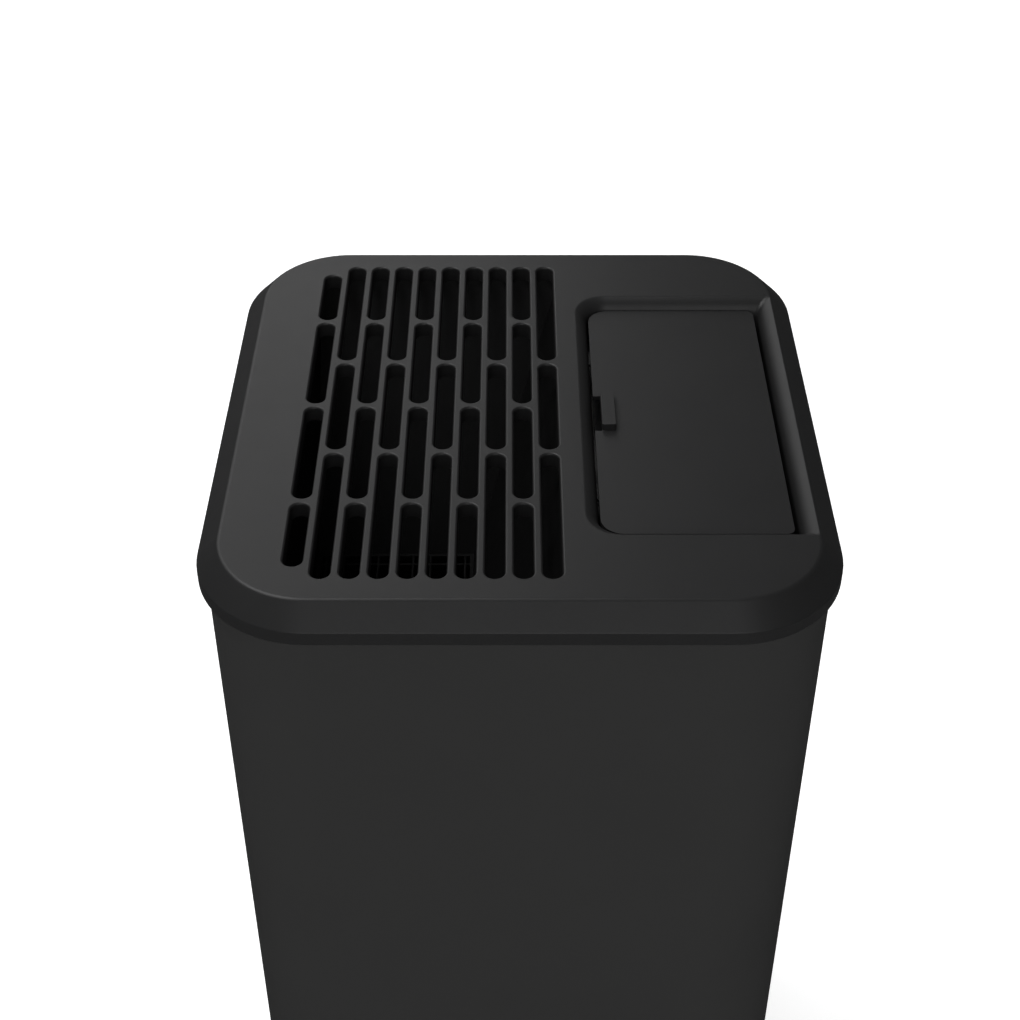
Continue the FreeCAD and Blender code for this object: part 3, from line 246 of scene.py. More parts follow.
def copperWire(name):
    f = Finish(name)
    turns = f.add("ShaderNodeTexWave", {"bands_direction": "Y"}, {
        "Vector": f.place(), "Scale": 160.0, "Distortion": 0.8, "Detail": 2.0})
    cloud = f.grain(6 * mm, 3.0)
    f.give(Base_Color=f.tint(turns * 0.6 + cloud * 0.3, (0.22, 0.07, 0.02), (0.7, 0.32, 0.13)),
           Metallic=1.0, Roughness=cloud * 0.2 + 0.3, Normal=f.bump(turns, 0.2 * mm, 0.6))
    return f.material


def paleFloor(name, glow):
    f = Finish(name, 0.2)
    cloud = f.grain(400 * mm, 3.0)
    f.give(Base_Color=f.tint(cloud, (0.86, 0.86, 0.86), (0.9, 0.9, 0.9)),
           Roughness=cloud * 0.1 + 0.7)
    f.shader.inputs["Emission Color"].default_value = (1.0, 1.0, 1.0, 1.0)
    f.shader.inputs["Emission Strength"].default_value = glow
    return f.material


grey = {"lid": (0.0165, 0.0165, 0.0168), "body": (0.030, 0.030, 0.0297),
        "inside": (0.010, 0.010, 0.0102), "button": (0.045, 0.045, 0.047)}
finishes = {
    "lid_plastic": mouldedPlastic("lidPlastic", grey["lid"], 0.42, specular=0.3),
    "body_paint": powderCoat("bodyPaint", grey["body"], 0.68, 0.08),
    "door_plastic": mouldedPlastic("doorPlastic", grey["body"], 0.66, specular=0.1),
    "inner_plastic": mouldedPlastic("innerPlastic", grey["inside"], 0.6, 0.7 * mm),
    "panel_plastic": mouldedPlastic("panelPlastic", (0.006, 0.006, 0.0065), 0.38, 0.25 * mm,
                                    0.015 * mm, 0.5),
    "button_plastic": mouldedPlastic("buttonPlastic", grey["button"], 0.45, 0.25 * mm,
                                     0.015 * mm, 0.5),
    "inlet_plastic": mouldedPlastic("inletPlastic", (0.009, 0.009, 0.009), 0.5, 0.6 * mm),
    "fan_plastic": mouldedPlastic("fanPlastic", (0.02, 0.021, 0.022), 0.55, 0.5 * mm),
    "lead_jacket": mouldedPlastic("leadJacket", (0.012, 0.012, 0.012), 0.45, 0.4 * mm),
    "component_black": mouldedPlastic("componentBlack", (0.015, 0.015, 0.016), 0.5, 0.3 * mm),
    "filter_card": fibres("filterCard", (0.62, 0.61, 0.57), (0.8, 0.79, 0.75), 0.5 * mm,
                          0.05 * mm, 0.85),
    "filter_paper": fibres("filterPaper", (0.68, 0.68, 0.64), (0.86, 0.86, 0.83), 0.3 * mm,
                           0.06 * mm),
    "carbon_felt": fibres("carbonFelt", (0.006, 0.006, 0.006), (0.035, 0.035, 0.037), 0.9 * mm,
                          0.3 * mm),
    "mesh_cloth": fibres("meshNylon", (0.02, 0.02, 0.022), (0.05, 0.05, 0.054), 0.15 * mm,
                         0.02 * mm, 0.6),
    "strap_webbing": fibres("strapWebbing", (0.012, 0.014, 0.02), (0.03, 0.034, 0.045), 0.5 * mm,
                            0.15 * mm, 0.9, (1.0, 1.0, 0.25)),
    "seal_foam": fibres("sealFoam", (0.012, 0.012, 0.012), (0.04, 0.04, 0.04), 0.6 * mm,
                        0.2 * mm),
    "foot_rubber": fibres("footRubber", (0.01, 0.01, 0.01), (0.026, 0.026, 0.026), 0.7 * mm,
                          0.04 * mm, 0.75),
    "screw_steel": plainMetal("screwSteel", (0.55, 0.56, 0.58), 1.5 * mm, True),
    "zinc_sheet": plainMetal("zincSheet", (0.62, 0.63, 0.65), 9 * mm),
    "magnet_steel": plainMetal("magnetSteel", (0.7, 0.7, 0.72), 2 * mm, True),
    "motor_steel": plainMetal("motorSteel", (0.4, 0.41, 0.42), 5 * mm),
    "winding_copper": copperWire("windingCopper"),
    "circuit_board": solderMask("circuitBoard"),
    "display_smoke": smokedLens("displaySmoke"),
    "light_pipe": frostedLens("lightPipe"),
}
slotOf = {part["node"]: part["material_slot"] for part in frame["record"]["subparts"]}
for nodeName, nodeObject in nodes.items():
    nodeObject.data.materials.clear()
    nodeObject.data.materials.append(finishes[slotOf[nodeName]])
print("finishes made:", len(finishes))


# Mesh helpers

def outline(x0, x1, y0, y1, corners, steps=14):
    # corner radii go right-rear, left-rear, left-front, right-front
    quarters = [(x1, y1, -1, -1), (x0, y1, 1, -1), (x0, y0, 1, 1), (x1, y0, -1, 1)]
    points = []
    for i, (x, y, sx, sy) in enumerate(quarters):
        r = corners[i]
        for step in range(steps + 1):
            a = math.radians(90 * (i + step / steps))
            points.append((x + sx * r + r * math.cos(a), y + sy * r + r * math.sin(a)))
    return points


def centred(half, corner, inset=0.0, steps=14):
    x, y = half[0] - inset, half[1] - inset
    return outline(-x, x, -y, y, (corner - inset,) * 4, steps)


def roundedLine(points, radii, steps=5):
    # a section whose inner corners each have their own rounding
    line = [points[0]]
    for before, here, after, radius in zip(points, points[1:], points[2:], radii):
        here = Vector(here)
        a, b = (Vector(before) - here).normalized(), (Vector(after) - here).normalized()
        half = a.angle(b) / 2
        reach = radius / math.tan(half)
        middle = here + (a + b).normalized() * (radius / math.sin(half))
        start, end = here + a * reach - middle, here + b * reach - middle
        for step in range(steps + 1):
            way = start.lerp(end, step / steps).normalized()
            line.append(tuple(middle + way * radius))
    line.append(points[-1])
    return line


def toPiece(name, mesh):
    # closes the seams, turns the faces outwards and links the object
    bmesh.ops.remove_doubles(mesh, verts=mesh.verts, dist=1e-7)
    bmesh.ops.recalc_face_normals(mesh, faces=mesh.faces)
    data = bpy.data.meshes.new(name)
    mesh.to_mesh(data)
    mesh.free()
    piece = bpy.data.objects.new(name, data)
    bpy.context.scene.collection.objects.link(piece)
    return piece


def stack(name, rings):
    # closed solid through rings of (points, height), lowest first
    mesh = bmesh.new()
    levels = [[mesh.verts.new((x, y, z)) for x, y in points] for points, z in rings]
    for low, high in zip(levels, levels[1:]):
        for i in range(len(low)):
            j = (i + 1) % len(low)
            mesh.faces.new((low[i], low[j], high[j], high[i]))
    mesh.faces.new(levels[0][::-1])
    mesh.faces.new(levels[-1])
    return toPiece(name, mesh)


def prism(name, points, low, high):
    return stack(name, [(points, low), (points, high)])


def block(name, x0, x1, y0, y1, z0, z1):
    return prism(name, [(x1, y1), (x0, y1), (x0, y0), (x1, y0)], z0, z1)


def turned(name, profile, place, axis="Z", steps=48):
    # solid of revolution: profile is (radius, distance along the axis)
    turns = [2 * math.pi * i / steps for i in range(steps)]
    piece = stack(name, [([(r * math.cos(a), r * math.sin(a)) for a in turns], along)
                         for r, along in profile])
    if axis == "Y":
        piece.data.transform(Matrix.Rotation(math.radians(-90), 4, "X"))
    piece.data.transform(Matrix.Translation(place))
    return piece


def bake(piece):
    # turns the modifiers into plain mesh
    graph = bpy.context.evaluated_depsgraph_get()
    data = bpy.data.meshes.new_from_object(piece.evaluated_get(graph))
    old = piece.data
    piece.modifiers.clear()
    piece.data = data
    bpy.data.meshes.remove(old)
    return piece


def combine(piece, operation, *tools):
    for tool in tools:
        step = piece.modifiers.new("combine", "BOOLEAN")
        step.operation = operation
        step.solver = "MANIFOLD"
        step.object = tool
        bake(piece)
        bpy.data.meshes.remove(tool.data)
    return piece


def carve(piece, *tools):
    return combine(piece, "DIFFERENCE", *tools)


def weld(piece, *tools):
    return combine(piece, "UNION", *tools)


def smooth(piece, angle=32):
    # smooth shading that keeps flat faces flat and edges over the angle sharp
    mesh = bmesh.new()
    mesh.from_mesh(piece.data)
    bmesh.ops.remove_doubles(mesh, verts=mesh.verts, dist=1e-6)
    bmesh.ops.dissolve_degenerate(mesh, edges=mesh.edges, dist=1e-6)
    mesh.to_mesh(piece.data)
    mesh.free()
    piece.data.shade_smooth()
    piece.data.set_sharp_from_angle(angle=math.radians(angle))
    flat = piece.modifiers.new("flat", "WEIGHTED_NORMAL")
    flat.keep_sharp = True
    flat.weight = 100
    return bake(piece)


def soften(piece, width, angle=35, segments=2):
    # rounds the edges over the angle
    bevel = piece.modifiers.new("soften", "BEVEL")
    bevel.width = width
    bevel.segments = segments
    bevel.limit_method = "ANGLE"
    bevel.angle_limit = math.radians(angle)
    return bake(piece)


def dress(piece, slot, body, *replaced):
    piece.data.materials.clear()
    piece.data.materials.append(finishes[slot])
    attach(piece, body)
    if replaced:
        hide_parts(*replaced)
    return piece


def refine(node, name, body, width, segments=2):
    # a joined copy of the fitted part with its edges softened
    piece = bpy.data.objects.new(name, nodes[node].data.copy())
    bpy.context.scene.collection.objects.link(piece)
    mesh = bmesh.new()
    mesh.from_mesh(piece.data)
    bmesh.ops.remove_doubles(mesh, verts=mesh.verts, dist=2e-6)
    bmesh.ops.dissolve_limit(mesh, angle_limit=math.radians(0.5), verts=mesh.verts,
                             edges=mesh.edges)
    mesh.to_mesh(piece.data)
    mesh.free()
    soften(piece, width, 40, segments)
    return dress(smooth(piece), slotOf[node], body, node)


# Geometry trees with named inputs

class Tree:
    def __init__(self, name):
        self.tree = bpy.data.node_groups.new(name, "GeometryNodeTree")
        self.tree.interface.new_socket("Geometry", in_out="OUTPUT",
                                       socket_type="NodeSocketGeometry")
        self.ids = {}
        self.start = self.tree.nodes.new("NodeGroupInput")
        self.end = self.tree.nodes.new("NodeGroupOutput")

    def ask(self, name, kind="NodeSocketFloat"):
        item = self.tree.interface.new_socket(name, in_out="INPUT", socket_type=kind)
        self.ids[name] = item.identifier
        return self.start.outputs[name]

    def add(self, kind, settings=None, sockets=None, out=0):
        node = self.tree.nodes.new(kind)
        for key, value in (settings or {}).items():
            setattr(node, key, value)
        for key, value in (sockets or {}).items():
            if isinstance(value, bpy.types.NodeSocket):
                self.tree.links.new(value, node.inputs[key])
            else:
                node.inputs[key].default_value = value
        return node.outputs[out]

    def maths(self, operation, a, b=0.0, c=0.0):
        return self.add("ShaderNodeMath", {"operation": operation}, {0: a, 1: b, 2: c})

    def spot(self, x=0.0, y=0.0, z=0.0):
        return self.add("ShaderNodeCombineXYZ", {}, {"X": x, "Y": y, "Z": z})

    def parts(self):
        here = self.add("GeometryNodeInputPosition")
        node = self.tree.nodes.new("ShaderNodeSeparateXYZ")
        self.tree.links.new(here, node.inputs[0])
        return node.outputs

    def keep(self, geometry, name, value):
        return self.add("GeometryNodeStoreNamedAttribute", {"data_type": "FLOAT"}, {
            "Geometry": geometry, "Name": name, "Value": value})

    def recall(self, name):
        return self.add("GeometryNodeInputNamedAttribute", {"data_type": "FLOAT"}, {"Name": name})

    def close(self, geometry, material):
        done = self.add("GeometryNodeSetMaterial", {}, {"Geometry": geometry,
                                                        "Material": material})
        self.tree.links.new(done, self.end.inputs[0])
        return self

    def run(self, name, values):
        piece = bpy.data.objects.new(name, bpy.data.meshes.new(name))
        bpy.context.scene.collection.objects.link(piece)
        modifier = piece.modifiers.new(name, "NODES")
        modifier.node_group = self.tree
        for key, value in values.items():
            modifier[self.ids[key]] = value
        return bake(piece)


def slotBankTree(material):
    # rows of round-ended cutters whose mouths open out in a quarter round
    g = Tree("slotBank")
    columns, rows = g.ask("Columns", "NodeSocketInt"), g.ask("Rows", "NodeSocketInt")
    firstX, stepX, period, half, gap, width, edge, depth = (g.ask(name) for name in (
        "First X", "Step X", "Period", "Half Length", "Gap", "Width", "Edge Radius", "Depth"))
    sides, levels, mouthTurn, lift = 20, 8, math.radians(72), 0.02 * mm
    drum = g.add("GeometryNodeMeshCylinder", {"fill_type": "NGON"}, {
        "Vertices": sides, "Side Segments": levels, "Radius": 1.0, "Depth": 1.0})
    drum = g.add("GeometryNodeTransform", {}, {"Geometry": drum,
                                               "Rotation": (0.0, 0.0, math.pi / sides)})
    # each level of the drum is a ring of the mouth, and the last one goes past the surface
    x, y, z = g.parts()
    level = g.maths("MULTIPLY", g.maths("ADD", z, 0.5), levels)
    share = g.add("ShaderNodeClamp", {}, {
        "Value": g.maths("DIVIDE", g.maths("SUBTRACT", level, 1.0), levels - 2)})
    turn = g.maths("MULTIPLY", share, mouthTurn)
    first = g.maths("LESS_THAN", level, 0.5)
    last = g.maths("GREATER_THAN", level, levels - 0.5)
    over = g.maths("MULTIPLY", last, g.maths("MULTIPLY_ADD", edge, 1 - math.sin(mouthTurn), lift))
    out = g.maths("MULTIPLY_ADD", edge, g.maths("SUBTRACT", 1.0, g.maths("COSINE", turn)),
                  g.maths("MULTIPLY", width, 0.5))
    out = g.maths("MULTIPLY_ADD", over, math.tan(mouthTurn), out)
    out = g.maths("DIVIDE", out, math.cos(math.pi / sides))
    rise = g.maths("MULTIPLY", edge, g.maths("SUBTRACT", g.maths("SINE", turn), 1.0))
    rise = g.maths("ADD", rise, over)
    rise = g.maths("SUBTRACT", rise, g.maths("MULTIPLY", first, g.maths("SUBTRACT", depth, edge)))
    drum = g.keep(drum, "side", g.maths("SIGN", y))
    drum = g.add("GeometryNodeSetPosition", {}, {"Geometry": drum, "Position": g.spot(
        g.maths("MULTIPLY", x, out), g.maths("MULTIPLY", y, out), rise)})
    # one point for each slot; its drum's halves then slide apart to the slot's length
    count = g.maths("MULTIPLY", columns, rows)
    cloud = g.add("GeometryNodePoints", {}, {"Count": count})
    index = g.add("GeometryNodeInputIndex")
    column = g.maths("FLOOR", g.maths("DIVIDE", g.maths("ADD", index, 0.5), rows))
    row = g.maths("SUBTRACT", index, g.maths("MULTIPLY", column, rows))
    ahead = g.maths("MULTIPLY", g.maths("SUBTRACT", row, g.maths("MULTIPLY", rows, 0.5)), period)
    halfGap = g.maths("MULTIPLY", gap, 0.5)
    start = g.maths("ADD", ahead, halfGap)
    end = g.maths("SUBTRACT", g.maths("ADD", ahead, period), halfGap)
    isFirst = g.maths("LESS_THAN", row, 0.5)
    isLast = g.maths("GREATER_THAN", row, g.maths("SUBTRACT", rows, 1.5))
    start = g.add("GeometryNodeSwitch", {"input_type": "FLOAT"}, {
        "Switch": isFirst, "False": start, "True": g.maths("MULTIPLY", half, -1.0)})
    end = g.add("GeometryNodeSwitch", {"input_type": "FLOAT"}, {
        "Switch": isLast, "False": end, "True": half})
    stretch = g.maths("MULTIPLY", g.maths("SUBTRACT", g.maths("SUBTRACT", end, start), width), 0.5)
    cloud = g.keep(cloud, "stretch", stretch)
    cloud = g.add("GeometryNodeSetPosition", {}, {"Geometry": cloud, "Position": g.spot(
        g.maths("MULTIPLY_ADD", column, stepX, firstX),
        g.maths("MULTIPLY", g.maths("ADD", start, end), 0.5))})
    bank = g.add("GeometryNodeInstanceOnPoints", {}, {"Points": cloud, "Instance": drum})
    bank = g.add("GeometryNodeRealizeInstances", {}, {"Geometry": bank})
    slide = g.maths("MULTIPLY", g.recall("side"), g.recall("stretch"))
    bank = g.add("GeometryNodeSetPosition", {}, {"Geometry": bank, "Offset": g.spot(y=slide)})
    return g.close(bank, material)


def netTree(material):
    # a woven net: upright bars and level bars laid through each other
    g = Tree("net")
    wide, tall, pitch, thread = (g.ask(n) for n in ("Width", "Height", "Pitch", "Thread"))
    join = g.tree.nodes.new("GeometryNodeJoinGeometry")
    for across in (True, False):
        reach, length = (wide, tall) if across else (tall, wide)
        count = g.maths("ADD", g.maths("FLOOR", g.maths("DIVIDE", reach, pitch)), 1.0)
        cloud = g.add("GeometryNodePoints", {}, {"Count": count})
        offset = g.maths("MULTIPLY", g.maths("SUBTRACT", count, 1.0), -0.5)
        along = g.maths("MULTIPLY", g.maths("ADD", g.add("GeometryNodeInputIndex"), offset), pitch)
        size = g.spot(thread, thread, length) if across else g.spot(length, thread, thread)
        bar = g.add("GeometryNodeMeshCube", {}, {"Size": size})
        cloud = g.add("GeometryNodeSetPosition", {}, {
            "Geometry": cloud, "Position": g.spot(x=along) if across else g.spot(z=along)})
        bars = g.add("GeometryNodeInstanceOnPoints", {}, {"Points": cloud, "Instance": bar})
        g.tree.links.new(bars, join.inputs[0])
    real = g.add("GeometryNodeRealizeInstances", {}, {"Geometry": join.outputs[0]})
    return g.close(real, material)


slotBank = slotBankTree(finishes["lid_plastic"])
net = netTree(finishes["mesh_cloth"])
print("geometry trees ready")


def slotTools(layout, banks):
    # one cutter for each bank of columns that share their rows and their ends
    tools = []
    for first, columns, rows, half in banks:
        tools.append(slotBank.run("slotTool", {
            "Columns": columns, "Rows": rows, "First X": layout["firstX"] + first * layout["pitch"],
            "Step X": 2 * layout["pitch"], "Period": layout["period"], "Half Length": half,
            "Gap": layout["gap"], "Width": layout["width"], "Edge Radius": layout["edge"],
            "Depth": layout["plate"] + 2 * mm}))
    return tools


# Lid: chamfered cap with the outlet slots and the pocket for the flap

lidLow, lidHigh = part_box("top_cover")
flapLow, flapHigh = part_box("control_flap")
panelLow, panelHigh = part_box("control_panel")
rodLow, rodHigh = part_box("flap_hinge_rod")
top = lidHigh.z
rod = {"place": ((rodLow.x + rodHigh.x) / 2, 0, (rodLow.z + rodHigh.z) / 2),
       "radius": (rodHigh.z - rodLow.z) / 2}
lid = {
    "half": (lidHigh.x, lidHigh.y), "corner": 55 * mm, "chamfer": 10.85 * mm, "side": 7.2 * mm,
    "wall": 2.5 * mm, "plate": 3 * mm, "foot": 1.5 * mm, "flatStart": 4 * mm,
    "creaseRadius": 3 * mm, "edgeRadius": 1.2 * mm, "footRadius": 0.5 * mm,
    "plugWall": 2.2 * mm, "plugInset": 5.4 * mm, "plugTop": 6.7 * mm,
    "sunk": 1.5 * mm,   # what is joined on from below ends this far under the top
}
outlet = {
    "width": 9 * mm, "pitch": 13.13 * mm, "firstX": lidLow.x + 46.74 * mm, "columns": 10,
    "period": 77.14 * mm, "gap": 4.2 * mm, "half": 132.4 * mm, "trim": 8.4 * mm,
    "edge": 1.3 * mm, "plate": 8 * mm, "frame": 6 * mm,
}
pocket = {
    "left": panelLow.x - 0.2 * mm, "right": panelHigh.x + 0.2 * mm,
    "half": panelHigh.y + 0.2 * mm, "corner": 11.7 * mm, "hingeCorner": 2 * mm,
    "roundover": 10.5 * mm, "lip": math.radians(20), "creaseMargin": 0.55 * mm,
    "wall": 2.5 * mm, "depth": 25.5 * mm, "ledge": 5 * mm, "ledgeCorner": 4 * mm,
    "topCorner": 17 * mm, "collar": 1.5 * mm, "collarDepth": 9.8 * mm,
}
stop = {"place": 57.3 * mm, "half": 6 * mm, "reach": 3.5 * mm, "aside": 1.6 * mm,
        "below": 6.5 * mm, "height": 4 * mm, "rise": 2.5 * mm, "bite": 0.5 * mm}


def lidRings(inset, low, high):
    # an inset wall meets the 45 degree chamfer along the line that halves their angle
    chamfer = lid["chamfer"] - (top - high) + inset * math.tan(math.radians(45 / 2))
    line = [(inset, low), (inset, high - chamfer), (inset + chamfer, high)]
    return [(centred(lid["half"], lid["corner"], i), z) for i, z in line]


def lidCap(bottom):
    # rounded section carried round the plan, hollow from below
    section = roundedLine(
        [(lid["foot"], bottom), (0, bottom), (0, bottom + lid["side"]), (lid["chamfer"], top),
         (lid["chamfer"] + lid["flatStart"], top)],
        [lid["footRadius"], lid["edgeRadius"], lid["creaseRadius"]])
    cap = stack("topCover", [(centred(lid["half"], lid["corner"], i, 20), z) for i, z in section])
    return carve(cap, stack("hollow", lidRings(lid["wall"], bottom - mm, top - lid["plate"])))


def outletPlate():
    # thicker plate that the slots go through
    left = outlet["firstX"] - outlet["width"] / 2 - outlet["frame"]
    right = left + (outlet["columns"] - 1) * outlet["pitch"] + outlet["width"] + 2 * outlet["frame"]
    deep = outlet["half"] + outlet["frame"]
    return block("grille", left, right, -deep, deep, top - outlet["plate"], top - lid["sunk"])


def lidPlug():
    # ring that reaches down into the shell
    half = [size - lid["plugInset"] for size in lid["half"]]
    corner = lid["corner"] - lid["plugInset"]
    plug = prism("plug", centred(half, corner), lidLow.z, top - lid["plugTop"])
    return carve(plug, prism("plugCore", centred(half, corner, lid["plugWall"]),
                             lidLow.z - mm, top))


def pocketSpread(turn):
    # how far the quarter-round mouth opens out where it has turned to this angle
    return pocket["roundover"] * (1 - math.sin(turn))


def pocketOutline(spread):
    share = spread / pocketSpread(pocket["lip"])
    rim = lid["half"][0] - lid["chamfer"] - pocket["creaseMargin"]
    corner = pocket["corner"] + (pocket["topCorner"] - pocket["corner"]) * share
    y = pocket["half"] + spread
    return outline(pocket["left"] - spread, pocket["right"] + (rim - pocket["right"]) * share,
                   -y, y, (pocket["hingeCorner"], corner, corner, pocket["hingeCorner"]), 10)


def pocketTool():
    # straight well with a quarter-round mouth that meets the lid at a slight angle
    r, lip, steps = pocket["roundover"], pocket["lip"], 10
    rings = [(pocketOutline(0.0), top - pocket["depth"] - mm)]
    for i in range(steps):
        a = math.radians(90) + (lip - math.radians(90)) * i / steps
        rings.append((pocketOutline(pocketSpread(a)), top - r * (math.cos(lip) - math.cos(a))))
    over = 0.02 * mm
    rings.append((pocketOutline(pocketSpread(lip) + over / math.tan(lip)), top + over))
    return stack("pocketTool", rings)


def pocketTube():
    # walls of the well below the lid's plate
    x0, x1, y, w = pocket["left"], pocket["right"], pocket["half"], pocket["wall"]
    inner, outer = pocket["hingeCorner"] + w, pocket["corner"] + w
    return prism("wellTube", outline(x0 - w, x1 + w, -y - w, y + w, (inner, outer, outer, inner)),
                 top - pocket["depth"], top - lid["sunk"])


def pocketCollar():
    # material behind the quarter-round mouth
    reach = pocketSpread(pocket["lip"]) + pocket["collar"]
    inner, outer = pocket["hingeCorner"], pocket["topCorner"]
    y = pocket["half"] + reach
    return prism("wellCollar", outline(pocket["left"] - reach, lid["half"][0] - lid["chamfer"],
                                       -y, y, (inner, outer, outer, inner)),
                 top - pocket["collarDepth"], top - lid["sunk"])


def pocketLedge():
    # the panel rests on it
    x0, x1, y, inner = pocket["left"], pocket["right"], pocket["half"], pocket["ledge"]
    low = top - pocket["depth"]
    ledge = prism("ledge", outline(x0, x1, -y, y, (mm,) * 4), low, panelLow.z)
    core = outline(x0 + inner, x1 - inner, -y + inner, y - inner, (pocket["ledgeCorner"],) * 4)
    return carve(ledge, prism("ledgeCore", core, low - mm, top))


def flapStops():
    # each steps down beside the wall, out of sight in the gap round the flap
    blocks = []
    tip = flapHigh.z - stop["below"]
    step, reach = tip - stop["rise"], pocket["left"] + stop["reach"]
    for place in (-stop["place"], stop["place"]):
        y0, y1 = place - stop["half"], place + stop["half"]
        blocks.append(block("stopFoot", pocket["left"] - stop["bite"], reach, y0, y1,
                            tip - stop["height"], step))
        blocks.append(block("stopTip", pocket["left"] + stop["aside"], reach, y0, y1,
                            step - stop["bite"], tip))
    return blocks


def makeLid():
    cap = lidCap(top - lid["chamfer"] - lid["side"])
    weld(cap, outletPlate(), lidPlug(), pocketTube(), pocketCollar())
    carve(cap, pocketTool())
    weld(cap, pocketLedge(), *flapStops())
    banks = [(0, 1, 4, outlet["half"] - outlet["trim"]), (2, 4, 4, outlet["half"]),
             (1, 5, 3, outlet["half"])]
    for tool in slotTools(outlet, banks):
        tool.data.transform(Matrix.Translation((0, 0, top)))
        carve(cap, tool)
    carve(cap, turned("rodTool", [(rod["radius"], rodLow.y - mm), (rod["radius"], rodHigh.y + mm)],
                      rod["place"], "Y", 24))
    return dress(smooth(cap), "lid_plastic", "housing", "top_cover")


makeLid()
print("lid made")


# Flap over the controls, with its lift tab

flap = {
    "thick": 2.5 * mm, "corner": 11 * mm, "hingeCorner": 4 * mm, "edge": 0.45 * mm,
    "tabRise": 3.8 * mm, "tabWidth": 29.2 * mm, "tabDepth": 6.8 * mm, "tabCorner": 0.8 * mm,
    "notch": 3.6 * mm, "notchPlay": 0.3 * mm, "bite": 0.5 * mm, "barrel": 3 * mm,
    "bore": 1.55 * mm, "endPlay": 1.5 * mm, "webReach": 2 * mm, "ribPlace": 12 * mm,
    "ribWidth": 2 * mm, "ribDepth": 2 * mm, "ribEnd": 14 * mm,
}


def flapPlate(low, high):
    # thin plate with a finger notch and the lift tab beside it
    x0, y = flapLow.x, flapHigh.y
    corners = (flap["hingeCorner"], flap["corner"], flap["corner"], flap["hingeCorner"])
    plate = prism("controlFlap", outline(x0, flapHigh.x, -y, y, corners), low, high)
    tabX, half = x0 + flap["notch"], flap["tabWidth"] / 2
    wide = half + flap["notchPlay"]
    carve(plate, block("notchTool", x0 - mm, tabX, -wide, wide, low - mm, high + mm))
    tab = outline(tabX, tabX + flap["tabDepth"], -half, half, (flap["tabCorner"],) * 4, 4)
    weld(plate, prism("tab", tab, high - flap["bite"], flapHigh.z))
    return soften(plate, flap["edge"], 35, 3)


def makeFlap():
    high = flapHigh.z - flap["tabRise"]
    low = high - flap["thick"]
    plate = flapPlate(low, high)
    x, z = rod["place"][0], rod["place"][2]
    ribX, ribY = flapLow.x + flap["ribPlace"], flapHigh.y - flap["ribEnd"]
    r, bore, into = flap["barrel"], flap["bore"], low + flap["bite"]
    reach, end = flapHigh.y - flap["endPlay"], flapHigh.y + mm
    barrel = turned("barrel", [(r, -reach), (r, reach)], rod["place"], "Y", 32)
    web = block("web", x - r, x + flap["webReach"], -reach, reach, z, into)
    rib = block("rib", ribX, ribX + flap["ribWidth"], -ribY, ribY, low - flap["ribDepth"], into)
    weld(plate, barrel, web, rib)
    carve(plate, turned("boreTool", [(bore, -end), (bore, end)], rod["place"], "Y", 24))
    return dress(smooth(plate), "lid_plastic", "flap", "control_flap")


makeFlap()
print("flap made")


# Controls seen when the flap is up

refine("control_panel", "controlPanel", "housing", 0.25 * mm)
refine("display_lens", "displayLens", "housing", 0.2 * mm)
for nodeName in slotOf:
    if nodeName.endswith("_button"):
        refine(nodeName, nodeName.replace("_button", "Cap"), nodeName + "_cap", 0.35 * mm, 3)
print("controls made")


# Pale signs on the button caps, bent over their domes, each a list of flat strips

signs = {"proud": 0.05 * mm, "sunk": 0.2 * mm, "half": 0.32 * mm, "dome": 3.0}


def stroke(points, closed=False):
    # pairs of points half a stroke's width either side of a line
    pairs = []
    for i, here in enumerate(points):
        before = points[i - 1] if i or closed else here
        after = points[(i + 1) % len(points)] if closed or i + 1 < len(points) else here
        way = (Vector(after) - Vector(before)).normalized() * signs["half"]
        pairs.append(((here[0] - way.y, here[1] + way.x), (here[0] + way.y, here[1] - way.x)))
    return pairs, closed


def bar(x0, y0, x1, y1, steps=6):
    return stroke([(x0 + (x1 - x0) * i / steps, y0 + (y1 - y0) * i / steps)
                   for i in range(steps + 1)])


def arc(radius, start, end, steps=36):
    closed = end - start == 360
    turns = [math.radians(start + (end - start) * i / steps)
             for i in range(steps if closed else steps + 1)]
    return stroke([(radius * math.cos(a), radius * math.sin(a)) for a in turns], closed)


def crescent(radius, shift, steps=28):
    # between a circle and the same circle moved aside
    tip = math.acos(shift / 2 / radius)
    pairs = []
    for i in range(steps + 1):
        share = i / steps
        outer = tip + (2 * math.pi - 2 * tip) * share
        inner = math.pi - tip + 2 * tip * share
        pairs.append(((radius * math.cos(outer), radius * math.sin(outer)),
                      (shift + radius * math.cos(inner), radius * math.sin(inner))))
    return pairs, False


def dot(radius, steps=16):
    turns = [math.pi * i / steps for i in range(steps + 1)]
    return [((-radius * math.cos(a), radius * math.sin(a)),
             (-radius * math.cos(a), -radius * math.sin(a))) for a in turns], False


